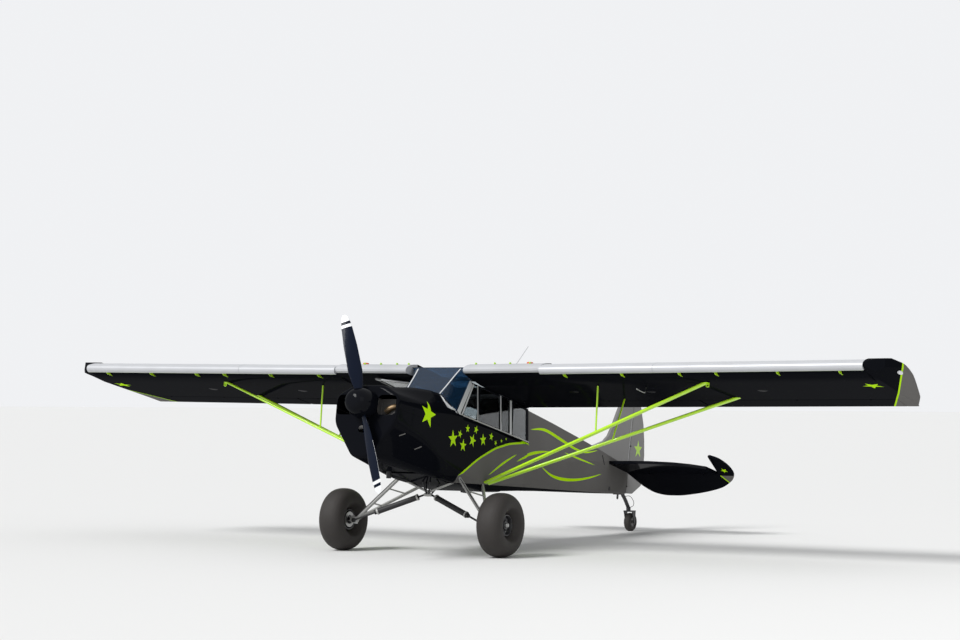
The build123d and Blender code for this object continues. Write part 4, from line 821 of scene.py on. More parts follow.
@dataclass(frozen=True)
class Finish:
    """A finish: its colour, gloss and relief, with the sizes of what varies over it."""

    name: str
    colour: Triple
    roughness: float
    metallic: float = 0.0
    coat: float = 0.0
    specular: float = 0.5
    mottling: float = 0.12
    scale: float = 9.0
    relief: float = 0.00006
    coat_roughness: float = 0.06

    def paint(self, t: Tree, place: Socket) -> Paint:
        """Base colour and an extra height over the surface; a plain finish has one colour and no height."""
        return (*self.colour, 1.0), None

    def material(self) -> bpy.types.Material:
        """The material, made once by name: wear over the paint, and a bump from the fine relief."""
        found = bpy.data.materials.get(self.name)
        if found:
            return found
        material, t, shader = new_material(self.name)
        place = t.put("ShaderNodeTexCoord").outputs["Object"]
        colour, height = self.paint(t, place)
        values = {"Scale": self.scale, "Mottling": self.mottling, "Roughness": self.roughness}
        wear = t.use(surface_wear(), Vector=place, Colour=colour, **values)
        t.set(shader, Base_Color=wear.outputs["Colour"], Roughness=wear.outputs["Roughness"])
        total = t.sum("MULTIPLY", wear.outputs["Height"], self.relief)
        if height is not None:
            total = t.sum("ADD", total, height)
        bump = t.set(t.put("ShaderNodeBump"), Distance=1.0, Strength=1.0, Height=total)
        t.set(shader, Normal=bump.outputs[0], Metallic=self.metallic, Specular_IOR_Level=self.specular)
        t.set(shader, Coat_Weight=self.coat, Coat_Roughness=self.coat_roughness)
        return material


BLACK_PAINT = (0.0040, 0.0045, 0.0065)
GREY_PAINT = (0.145, 0.140, 0.134)
LIME_PAINT = (0.50, 0.86, 0.008)
SLAT_PAINT = (0.50, 0.51, 0.53)


@dataclass(frozen=True)
class Livery(Finish):
    """Fuselage paint: black nose and cabin, grey rear, a lime edge between them, lime stars and stripes, and
    black painted shade along the belly.
    """

    edge_half: float = 0.011
    # Columns: centre y, centre z and radius of a star, and its turn in degrees
    stars: tuple[Quad, ...] = (
        (-0.672, 0.962, 0.136, -8.0), (-0.171, 0.817, 0.092, 14.0), (-0.048, 0.892, 0.044, -8.0),
        (0.089, 0.974, 0.044, 10.0), (0.256, 0.997, 0.045, -12.0), (0.038, 0.791, 0.068, 6.0),
        (0.211, 0.878, 0.070, -10.0), (0.419, 0.925, 0.067, 14.0), (0.578, 0.991, 0.045, 0.0),
        (0.685, 0.946, 0.030, -14.0), (0.805, 0.991, 0.021, 8.0), (0.901, 1.031, 0.017, -6.0),
    )
    # The paint edge, from the keel up to the sill
    boundary: tuple[Pair, ...] = (
        (0.025, 0.480), (0.214, 0.613), (0.373, 0.719), (0.530, 0.806), (0.703, 0.893), (0.853, 0.948),
        (1.002, 0.998), (1.324, 1.073), (1.410, 1.085),
    )
    # Each stripe: points (y, z, half width)
    stripes: tuple[tuple[Triple, ...], ...] = (
        ((0.604, 0.591, 0.004), (0.90, 0.775, 0.013), (1.187, 0.926, 0.004)),
        ((1.188, 0.847, 0.006), (1.489, 0.979, 0.017), (1.78, 1.062, 0.014), (2.058, 1.121, 0.003)),
        (
            (1.488, 1.251, 0.004), (1.866, 1.322, 0.016), (2.321, 1.309, 0.018), (2.738, 1.288, 0.014),
            (3.075, 1.309, 0.010), (3.432, 1.401, 0.003),
        ),
        (
            (1.850, 0.914, 0.004), (2.127, 0.874, 0.014), (2.438, 0.888, 0.018), (2.833, 0.951, 0.015),
            (3.242, 1.051, 0.010), (3.598, 1.159, 0.003),
        ),
        ((2.447, 1.188, 0.003), (2.865, 1.199, 0.011), (3.387, 1.218, 0.003)),
    )
    # Painted shade: black below a line along the belly, from a point (y, z) and rising aft by a slope
    belly_shade_from: Pair = (0.61, 0.497)
    belly_shade_slope: float = 0.1475

    def paint(self, t: Tree, place: Socket) -> Paint:
        """Black, then grey behind the paint edge and above the keel line, below which black stays as painted
        shade on the belly, then every lime mask over them.
        """
        level, _, y, z = level_axes(t, place)
        edge = curve_through([(pz, py, self.edge_half) for py, pz in self.boundary], 3)
        lime, edge_y = stripe(t, z, y, edge)
        behind = cover(t, y, edge_y)
        # Black below this line is painted shade on the belly's underside
        belly_shade_y, belly_shade_z = self.belly_shade_from
        belly_shade_line = t.sum("MULTIPLY_ADD", t.sum("SUBTRACT", y, belly_shade_y), self.belly_shade_slope, belly_shade_z)
        colour = t.blend(t.sum("MULTIPLY", behind, cover(t, z, belly_shade_line)), (*BLACK_PAINT, 1), (*GREY_PAINT, 1))
        for rows in self.stripes:
            lime = t.sum("MAXIMUM", lime, stripe(t, y, z, curve_through(rows, 5))[0])
        for row in self.stars:
            lime = t.sum("MAXIMUM", lime, star(t, level, row))
        return t.blend(lime, colour, (*LIME_PAINT, 1)), None


@dataclass(frozen=True)
class WingPaint(Finish):
    """Wing skin: black with taped ribs, and a grey rear corner at the tip behind a thin lime line."""

    rib_spacing: float = 0.36
    rib_width: float = 0.02
    rib_relief: float = 0.00025
    corner_from: Pair = (4.62, 0.74)
    corner_to: Pair = (4.86, 0.16)
    line_half: float = 0.009
    cuff_to: Pair = (1.216, 0.13)
    cuff_under: float = 1.511
    # Centre x, centre y, radius and turn of the star under each tip
    star: Quad = (4.47, 0.45, 0.105, 10.0)

    def paint(self, t: Tree, place: Socket) -> Paint:
        """Grey behind the corner line, lime on it and the star, silver on the cuff under the root's nose."""
        _, x, y, z = level_axes(t, place)
        out = t.sum("ABSOLUTE", x)
        run = np.array(self.corner_to) - np.array(self.corner_from)
        normal = np.array([-run[1], run[0]]) / np.linalg.norm(run)
        offset = float(normal @ np.array(self.corner_from))
        along_y = t.sum("MULTIPLY_ADD", y, float(normal[1]), -offset)
        off = t.sum("MULTIPLY_ADD", out, float(normal[0]), along_y)
        colour = t.blend(past(t, off), (*self.colour, 1), (*GREY_PAINT, 1))
        lime = t.sum("MAXIMUM", line(t, off, self.line_half), star(t, t.join(0.0, out, y), self.star))
        cuff = t.sum("MULTIPLY", cover(t, self.cuff_to[0], out), cover(t, self.cuff_to[1], y))
        cuff = t.sum("MULTIPLY", cuff, cover(t, root_height(t, out, z), self.cuff_under))
        colour = t.blend(cuff, t.blend(lime, colour, (*LIME_PAINT, 1)), (*SLAT_PAINT, 1))
        ribs = t.use(seam_lines(), Along=out, Spacing=self.rib_spacing, Width=self.rib_width).outputs[0]
        return colour, t.sum("MULTIPLY", ribs, self.rib_relief)


@dataclass(frozen=True)
class SlatPaint(Finish):
    """Silver-grey slats on lime brackets."""

    foot: float = 1.4935
    lug_from: Pair = (-0.028, 1.543)

    def paint(self, t: Tree, place: Socket) -> Paint:
        """Lime where the point lies under the slat's lower edge, or behind its inner face."""
        _, x, y, z = level_axes(t, place)
        height = root_height(t, t.sum("ABSOLUTE", x), z)
        behind = t.sum("MULTIPLY", cover(t, y, self.lug_from[0]), cover(t, self.lug_from[1], height))
        lug = t.sum("MAXIMUM", cover(t, self.foot, height), behind)
        return t.blend(lug, (*self.colour, 1), (*LIME_PAINT, 1)), None


@dataclass(frozen=True)
class ElevatorPaint(Finish):
    """Elevator skin: black, with grey tips behind a lime line."""

    grey_from: float = 1.23
    aft_from: float = 4.36
    slope: float = -0.42
    line_half: float = 0.009
    # Centre x, centre y, radius and turn of the star on each horn
    star: Quad = (1.315, 4.26, 0.045, 10.0)

    def paint(self, t: Tree, place: Socket) -> Paint:
        """Grey aft of the hinge and outboard of a slanting line, lime on that line and on the star."""
        _, x, y, _ = level_axes(t, place)
        out, behind = t.sum("ABSOLUTE", x), t.sum("SUBTRACT", y, self.aft_from)
        off = t.sum("SUBTRACT", t.sum("MULTIPLY_ADD", behind, self.slope, out), self.grey_from)
        aft = past(t, behind)
        colour = t.blend(t.sum("MULTIPLY", past(t, off), aft), (*self.colour, 1), (*GREY_PAINT, 1))
        edge = t.sum("MULTIPLY", line(t, off, self.line_half), aft)
        lime = t.sum("MAXIMUM", star(t, t.join(0.0, out, y), self.star), edge)
        return t.blend(lime, colour, (*LIME_PAINT, 1)), None


@dataclass(frozen=True)
class TailPaint(Finish):
    """Fin and rudder paint: grey with one plain lime star on the rudder."""

    star: Quad = (4.61, 1.64, 0.11, 8.0)

    def paint(self, t: Tree, place: Socket) -> Paint:
        """Grey, with the star's mask in lime."""
        return t.blend(star(t, level_axes(t, place)[0], self.star), (*self.colour, 1), (*LIME_PAINT, 1)), None


@dataclass(frozen=True)
class Weave(Finish):
    """Woven cloth: two crossing wave patterns over the object's coordinates, with painted shade in the gaps
    between threads.
    """

    pitch: float = 0.004
    thread_relief: float = 0.0003
    # Painted shade: share of the colour left in the gaps between threads
    painted_gap_shade: float = 0.6

    def paint(self, t: Tree, place: Socket) -> Paint:
        """Colour and height follow the product of two sine waves of one thread's pitch; the darker colour in
        the gaps is painted shade.
        """
        x, y, z = t.split(place)
        turns = 2 * math.pi / self.pitch
        across = t.sum("SINE", t.sum("MULTIPLY", x, turns))
        along = t.sum("SINE", t.sum("MULTIPLY", t.sum("ADD", y, z), turns))
        thread = t.sum("MULTIPLY_ADD", t.sum("MULTIPLY", across, along), 0.5, 0.5)
        # Painted shade between the threads
        dark = tuple(self.painted_gap_shade * part for part in self.colour)
        return t.blend(thread, (*dark, 1), (*self.colour, 1)), t.sum("MULTIPLY", thread, self.thread_relief)


@dataclass(frozen=True)
class Glazing:
    """Clear sheet, slightly tinted."""

    name: str = "clear_glazing"
    tint: Triple = (0.50, 0.55, 0.57)
    transmission: float = 1.0
    index: float = 1.45
    haze: float = 0.05
    haze_scale: float = 6.0

    def material(self) -> bpy.types.Material:
        """Transmission with a faint haze in its roughness."""
        found = bpy.data.materials.get(self.name)
        if found:
            return found
        material, t, shader = new_material(self.name)
        place = t.put("ShaderNodeTexCoord").outputs["Object"]
        haze = t.sum("MULTIPLY_ADD", t.noise(place, self.haze_scale, 4.0), self.haze, 0.0, clamp=True)
        t.set(shader, Base_Color=(*self.tint, 1), Roughness=haze)
        t.set(shader, Transmission_Weight=self.transmission, IOR=self.index)
        return material


# Each finish: name, colour and roughness, then what differs from a plain one
LIVERY = Livery("livery_paint", BLACK_PAINT, 0.2, coat=0.07, specular=0.0, mottling=0.18, scale=3.0)
WING_SKIN = WingPaint("wing_paint", BLACK_PAINT, 0.28, coat=0.03, specular=0.0, mottling=0.2, scale=3.0)
BLACK_GLOSS = Finish("black_paint", BLACK_PAINT, 0.18, coat=0.14, specular=0.0, mottling=0.2, scale=3.0)
ELEVATOR_SKIN = ElevatorPaint("elevator_paint", BLACK_PAINT, 0.26, coat=0.03, specular=0.0)
TAIL_SKIN = TailPaint("tail_paint", GREY_PAINT, 0.34, coat=0.3, mottling=0.12, scale=3.0)
GREY_SATIN = Finish("grey_paint", GREY_PAINT, 0.36, coat=0.2, mottling=0.12, scale=3.0)
SLAT_SKIN = SlatPaint("slat_paint", SLAT_PAINT, 0.36, metallic=0.15, mottling=0.12, scale=5.0)
LIME_GLOSS = Finish("lime_paint", LIME_PAINT, 0.3, coat=0.4, mottling=0.08, scale=6.0)
TUBE_GREY = Finish("tube_paint", (0.40, 0.40, 0.385), 0.38, coat=0.2, mottling=0.14, scale=12.0)
POST_SILVER = Finish("post_paint", (0.55, 0.56, 0.57), 0.34, coat=0.2, mottling=0.1, scale=12.0)
DARK_SATIN = Finish("dark_paint", (0.014, 0.014, 0.016), 0.45, mottling=0.25, scale=14.0)
STEEL = Finish("steel_brushed", (0.42, 0.42, 0.41), 0.32, metallic=1.0, mottling=0.15, scale=30.0)
BRONZE = Finish("cast_bronze", (0.30, 0.21, 0.12), 0.5, metallic=0.8, mottling=0.3, scale=22.0, relief=0.0003)
CASTING = Finish("cast_alloy", (0.20, 0.195, 0.19), 0.5, metallic=0.7, mottling=0.3, scale=20.0, relief=0.0004)
RIM_BLACK = Finish("rim_paint", (0.018, 0.018, 0.02), 0.32, coat=0.3, mottling=0.2, scale=15.0)
TYRE_RUBBER = Finish("tyre_rubber", (0.021, 0.0175, 0.0155), 0.72, mottling=0.5, scale=18.0, relief=0.0006)
HOSE_RUBBER = Finish("hose_rubber", (0.012, 0.012, 0.013), 0.6, mottling=0.3, scale=25.0)
BLADE_NAVY = Finish("blade_paint", (0.005, 0.008, 0.018), 0.2, coat=0.08, specular=0.03, scale=8.0)
# White blade paint, also used for the painted highlight along each blade's leading edge
BLADE_WHITE_AND_HIGHLIGHT = Finish("blade_white_and_highlight", (0.74, 0.75, 0.76), 0.3, coat=0.3, mottling=0.06, scale=8.0)
SEAT_CLOTH = Weave("seat_cloth", (0.035, 0.035, 0.04), 0.85, mottling=0.3, scale=14.0)
WEBBING = Weave("harness_webbing", (0.05, 0.05, 0.055), 0.8, mottling=0.2, scale=14.0, pitch=0.002)
PANEL_BLACK = Finish("panel_black", (0.02, 0.02, 0.022), 0.55, mottling=0.2, scale=25.0, relief=0.0002)
DIAL_FACE = Finish("dial_face", (0.008, 0.008, 0.01), 0.2, coat=0.8, mottling=0.1, scale=60.0)
LAMP_CLEAR = Finish("lamp_lens", (0.75, 0.76, 0.78), 0.12, coat=0.8, mottling=0.05, scale=20.0)
CAP_ORANGE = Finish("cap_orange", (0.65, 0.10, 0.02), 0.4, coat=0.2, mottling=0.1, scale=30.0)
CLEAR = Glazing()
SCREEN_BLUE = Glazing("screen_glazing", (0.025, 0.080, 0.17), 0.80, 1.3)


# Fitting pieces to bodies


def fit(
    piece: Piece, body: Body, finish: Finish | Glazing | None, stands_for: Sequence[str] = ()
) -> Piece:
    """Dresses a piece, hangs it on its body and hides the nodes it stands for.

    Args:
        piece: the finished object.
        body: the body it rides on.
        finish: its finish, or None where it already has its materials.
        stands_for: CAD nodes that it replaces.

    Returns:
        The same object.
    """
    if finish is not None:
        piece.data.materials.clear()
        piece.data.materials.append(finish.material())
    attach(piece, body.value)
    if stands_for:
        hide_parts(*stands_for)
    LOG.info("%s on %s: %d faces", piece.name, body.value, len(piece.data.polygons))
    return piece


def fixed(piece: Piece, finish: Finish | Glazing, stands_for: Sequence[str] = ()) -> Piece:
    """Dresses a piece that rides on the airframe, as fit does, and gives it back."""
    return fit(piece, Body.AIRFRAME, finish, stands_for)


@dataclass(frozen=True)
class Skin:
    """One CAD node that is kept as a smoothed copy with its own finish."""

    node: str
    slot: Slot
    finish: Finish | Glazing
    angle: float = 32.0
    edge: float = 0.0

    def build(self) -> None:
        """Copies the node, puts the copy on its own body or else the airframe, and replaces the node."""
        piece = smoothed_copy(self.node, self.node + "_skin", self.angle, self.edge)
        bodies = {body.value: body for body in Body}
        body = bodies.get(self.node.removesuffix("_glass"), Body.AIRFRAME)
        fit(piece, body, self.finish, (self.node,))


@dataclass
class Skins:
    """Every node whose CAD form is kept."""

    single: tuple[Skin, ...] = (
        Skin("cabin_shell", Slot.BLACK, LIVERY, 28, 0.0015),
        Skin("tail_cone", Slot.GREY, LIVERY, 28, 0.002),
        Skin("door_lower", Slot.BLACK, LIVERY, 28, 0.001),
        Skin("door_upper", Slot.BLACK, DARK_SATIN, 28, 0.001),
        Skin("roof_rear", Slot.GREY, BLACK_GLOSS, 28),
        Skin("fin", Slot.GREY, TAIL_SKIN, 40, 0.002),
        Skin("rudder", Slot.GREY, TAIL_SKIN, 40, 0.002),
        Skin("stabiliser", Slot.BLACK, BLACK_GLOSS, 40, 0.006),
        Skin("tail_spring", Slot.DARK, DARK_SATIN, 40),
        Skin("tail_fork", Slot.DARK, DARK_SATIN, 40, 0.001),
        Skin("aerial", Slot.DARK, POST_SILVER, 40),
        Skin("exhaust_pipe", Slot.DARK, DARK_SATIN, 40),
        Skin("engine", Slot.ENGINE, CASTING, 30, 0.006),
        Skin("spar_tubes", Slot.DARK, DARK_SATIN, 40),
        Skin("instrument_panel", Slot.DARK, PANEL_BLACK, 40, 0.001),
        Skin("windshield", Slot.GLASS, SCREEN_BLUE, 40),
        Skin("skylight", Slot.GLASS, CLEAR, 30),
        Skin("door_upper_glass", Slot.GLASS, CLEAR, 30),
    )
    # Nodes that are there on both sides, under the first part of their names
    paired: tuple[Skin, ...] = (
        Skin("wing", Slot.BLACK, WING_SKIN, 24),
        Skin("flap", Slot.BLACK, WING_SKIN, 30),
        Skin("aileron", Slot.BLACK, WING_SKIN, 30),
        Skin("slat", Slot.SILVER, SLAT_SKIN, 40),
        Skin("lift_strut_front", Slot.LIME, LIME_GLOSS, 40),
        Skin("lift_strut_rear", Slot.LIME, LIME_GLOSS, 40),
        Skin("jury_struts", Slot.LIME, LIME_GLOSS, 40),
        Skin("gear_leg", Slot.TUBE, TUBE_GREY, 40),
        Skin("shock_strut", Slot.DARK, HOSE_RUBBER, 40),
        Skin("windows", Slot.GLASS, CLEAR, 30),
    )

    def build(self) -> None:
        """Builds the single nodes, then both sides of each pair."""
        for row in self.single:
            row.build()
        for row in self.paired:
            for side, _ in SIDES:
                replace(row, node=f"{row.node}_{side}").build()


# Cowl


@dataclass
class Cowl:
    """Smooth engine cowl in two halves, with cheek and chin openings, an outlet below and louvre strips."""

    # Columns: y, then x and z of four half corners from top to bottom, then their radii
    stations: tuple[tuple[float, ...], ...] = (
        (-1.185, 0.170, 1.136, 0.362, 1.034, 0.350, 0.757, 0.105, 0.421, 0.190, 0.100, 0.180, 0.130),
        (-1.020, 0.180, 1.158, 0.368, 1.036, 0.360, 0.740, 0.150, 0.420, 0.180, 0.105, 0.180, 0.135),
        (-0.670, 0.200, 1.228, 0.371, 1.037, 0.368, 0.690, 0.225, 0.412, 0.140, 0.130, 0.150, 0.125),
        (-0.450, 0.220, 1.256, 0.374, 1.056, 0.374, 0.620, 0.275, 0.408, 0.110, 0.110, 0.110, 0.110),
    )
    nose_depth: float = 0.037
    # How far each half corner is drawn in at the front face
    nose_pull: tuple[Pair, ...] = (
        (-0.034, -0.034), (-0.034, -0.030), (-0.034, 0.013), (-0.034, 0.034),
    )
    wall: float = 0.004
    split: float = 0.905
    split_gap: float = 0.0006
    lining_end: float = -0.44
    # Middle and half sizes of the port cheek opening, the chin intake and the outlet
    cheek: tuple[Triple, Triple] = ((0.236, -1.26, 0.938), (0.104, 0.20, 0.098))
    chin: tuple[Triple, Triple] = ((0.0, -1.22, 0.700), (0.055, 0.05, 0.035))
    outlet: tuple[Triple, Triple] = ((0.0, -0.505, 0.420), (0.19, 0.045, 0.06))
    shaft_from: Triple = (0.0, -1.3, 0.937)
    shaft_rows: tuple[Pair, ...] = ((0.0, 0.0), (0.062, 0.0), (0.062, 0.2), (0.0, 0.2))
    # Corners of the box that holds the whole cowl, for cutting it in halves
    room: tuple[Triple, Triple] = ((-0.6, -1.4, 0.2), (0.6, -0.3, 1.6))
    # Each louvre strip: start and end (y, z)
    louvres: tuple[tuple[Pair, Pair], ...] = (
        ((-1.060, 0.650), (-0.975, 0.722)),
        ((-0.757, 0.580), (-0.672, 0.648)),
    )
    louvre_x: float = 0.34

    def rings(self, inset: float, last: float) -> Array:
        """Sections of the cowl with its skin moved inwards: a quarter-round nose, then smooth stations.

        Args:
            inset: distance inside the outer skin.
            last: station of the last section.

        Returns:
            Array (rows, points, 3) in the rigging frame.
        """
        rows = np.array(self.stations)
        turn = np.linspace(0, math.pi / 2, 8)
        nose = rows[0, 0] - (self.nose_depth - inset) * np.cos(turn)
        y = np.concatenate([nose, np.linspace(rows[0, 0], rows[-1, 0], 36)[1:]])
        values = smooth_rows(rows[:, 0], rows[:, 1:], np.maximum(y, rows[0, 0]))
        corners = values[:, :8].reshape(-1, 4, 2)
        pull = np.concatenate([1 - np.sin(turn), np.zeros(35)])
        corners = corners + pull[:, None, None] * np.array(self.nose_pull)
        corners[..., 0] -= inset
        corners[:, 0, 1] -= inset
        corners[:, -1, 1] += inset
        y[-1] = last
        return rounded_rings(y, corners, values[:, 8:] - inset)

    def cutters(self, keep_upper: bool) -> list[Piece]:
        """Closed forms to take out of one half: its lining, its openings and the other half."""
        forms = [loft("cowl_lining", RIG.place(self.rings(self.wall, self.lining_end)))]
        for _, hand in SIDES:
            forms.append(rounded_block("cheek", on_side(self.cheek[0], hand), self.cheek[1], 5.0, 64))
        forms.append(lathe("shaft", self.shaft_rows, self.shaft_from, (0, 1, 0)))
        low, high = self.room
        if keep_upper:
            forms.append(block("lower_half", low, (*high[:2], self.split + self.split_gap)))
        else:
            forms.append(rounded_block("chin", *self.chin, 3.0, 48))
            forms.append(rounded_block("outlet", *self.outlet, 9.0, 48))
            forms.append(block("upper_half", (*low[:2], self.split - self.split_gap), high))
        return forms

    def build(self) -> None:
        """Both halves, then the louvre strips on both cheeks."""
        for node, keep_upper in (("cowl_upper", True), ("cowl_lower", False)):
            skin = loft(node + "_skin", RIG.place(self.rings(0.0, self.stations[-1][0])))
            carved(skin, self.cutters(keep_upper), 38.0)
            fixed(skin, LIVERY, (node,))
        drape = Drape("cowl_upper_skin", "cowl_lower_skin")
        for side, hand in SIDES:
            for number, (start, end) in enumerate(self.louvres, 1):
                path = np.linspace((hand * self.louvre_x, *start), (hand * self.louvre_x, *end), 9)
                lip = drape.band(f"louvre_{side}_{number}", path, 0.011, 0.007)
                fixed(lip, GREY_SATIN)


# Elevator


def plate(name: str, outline: Array, edge: float) -> Piece:
    """Flat closed form with a rounded rim: a face over an outline, its copy below, and a wall between them.

    Args:
        name: name of the piece.
        outline: array (n, 2, 3): each corner's upper and lower point in the rigging frame.
        edge: width of the rim's rounding.

    Returns:
        The object, in the parked frame.
    """
    count = len(outline)
    around = np.arange(count)
    beside = (around + 1) % count
    walls = np.stack([around, beside, beside + count, around + count], -1).tolist()
    points = RIG.place(np.concatenate([outline[:, 0], outline[:, 1]]))
    piece = new_piece(name, points, [list(around), list(around + count)[::-1], *walls], 40.0)
    soften(piece, edge, 5, 50)
    return piece


@dataclass
class Elevator:
    """Both drooped elevator halves: a smooth outline, a balance horn ahead of the hinge, and a round nose."""

    hinge: Pair = (4.345, 1.330)
    droop: float = math.radians(22.0)
    thick: float = 0.034
    inner_x: float = 0.034
    horn_x: float = 1.209
    lugs: tuple[float, ...] = (0.330, 1.020)
    notch: float = 0.009
    front: float = 0.024
    rounding: float = 0.012
    # Trailing edge and horn in plan (x, distance aft of the hinge), from the inner corner to the horn's foot
    rim: tuple[Pair, ...] = (
        (0.120, 0.300), (0.209, 0.432), (0.330, 0.493), (0.470, 0.501), (0.620, 0.484), (0.888, 0.410),
        (1.123, 0.312), (1.252, 0.218), (1.358, 0.104), (1.405, -0.019), (1.392, -0.165), (1.328, -0.300),
        (1.240, -0.368),
    )

    def drooped(self, points: Array) -> Array:
        """Turns points (x, aft, up) about the hinge by the droop, and adds the hinge's place."""
        y, z = turned(points[..., 1], points[..., 2], self.droop)
        return np.stack([points[..., 0], self.hinge[0] + y, self.hinge[1] + z], -1)

    def build(self) -> None:
        """A plate and a nose roll in three lengths for each half, and the cross tube between them."""
        curve = curve_through([(x, y, 0.0) for x, y in self.rim], 7)[:, :2]
        front, nose = self.front, self.thick / 2
        inner = [(self.inner_x + 0.004, front), (self.inner_x, 0.04)]
        horn = [(self.horn_x + 0.012, -0.3705), (self.horn_x, -0.360), (self.horn_x, front)]
        plan = np.concatenate([inner, curve, horn])
        notches = [lug + off for lug in self.lugs for off in (-self.notch, self.notch)]
        ends = [self.inner_x, *notches, self.horn_x + 0.04]
        for side, hand in SIDES:
            flat = np.stack([plan[:, 0] * hand, plan[:, 1], np.zeros(len(plan))], -1)
            lift = np.array([0.0, 0.0, nose])
            outline = np.stack([self.drooped(flat + lift), self.drooped(flat - lift)], 1)
            skin = plate(f"elevator_{side}_skin", outline, self.rounding)
            fit(skin, Body.ELEVATOR, ELEVATOR_SKIN, ("elevator",))
            for number, (start, end) in enumerate(zip(ends[::2], ends[1::2]), 1):
                roll = self.nose_roll(f"elevator_{side}_nose_{number}", hand, start, end, front + 0.004)
                fit(roll, Body.ELEVATOR, ELEVATOR_SKIN)
            for number, x in enumerate(self.lugs, 1):
                name, place = f"elevator_{side}_pin_{number}", (hand * x, *self.hinge)
                pin = lathe(name, self.rod_rows(0.0039, 0.014), place, (1, 0, 0), 24)
                fit(pin, Body.ELEVATOR, STEEL)
        tube = lathe("elevator_cross_tube", self.rod_rows(0.011, 0.064), (0.0, *self.hinge), (1, 0, 0), 32)
        fit(tube, Body.ELEVATOR, DARK_SATIN)

    def rod_rows(self, radius: float, half: float) -> list[Pair]:
        """Section of a plain round rod about its middle."""
        return [(0.0, -half), (radius, -half), (radius, half), (0.0, half)]

    def nose_roll(self, name: str, hand: float, start: float, end: float, back: float) -> Piece:
        """Length of the leading edge: half a circle in front of the hinge, flat-sided back to the plate.

        Args:
            name: name of the piece.
            hand: 1 for port, -1 for starboard.
            start: inner end.
            end: outer end.
            back: distance aft of the hinge at which the plate takes over.

        Returns:
            The object, in the parked frame.
        """
        turn = np.linspace(-math.pi / 2, math.pi / 2, 17)
        radius = self.thick / 2
        aft = np.concatenate([[back], -radius * np.cos(turn), [back]])
        up = np.concatenate([[-radius], radius * np.sin(turn), [radius]])
        rings = [
            self.drooped(np.stack([np.full(len(aft), hand * x), aft, up], -1))
            for x in (start, start + 0.002, end - 0.002, end)
        ]
        return loft(name, RIG.place(np.array(rings)), 40.0)


# Propeller


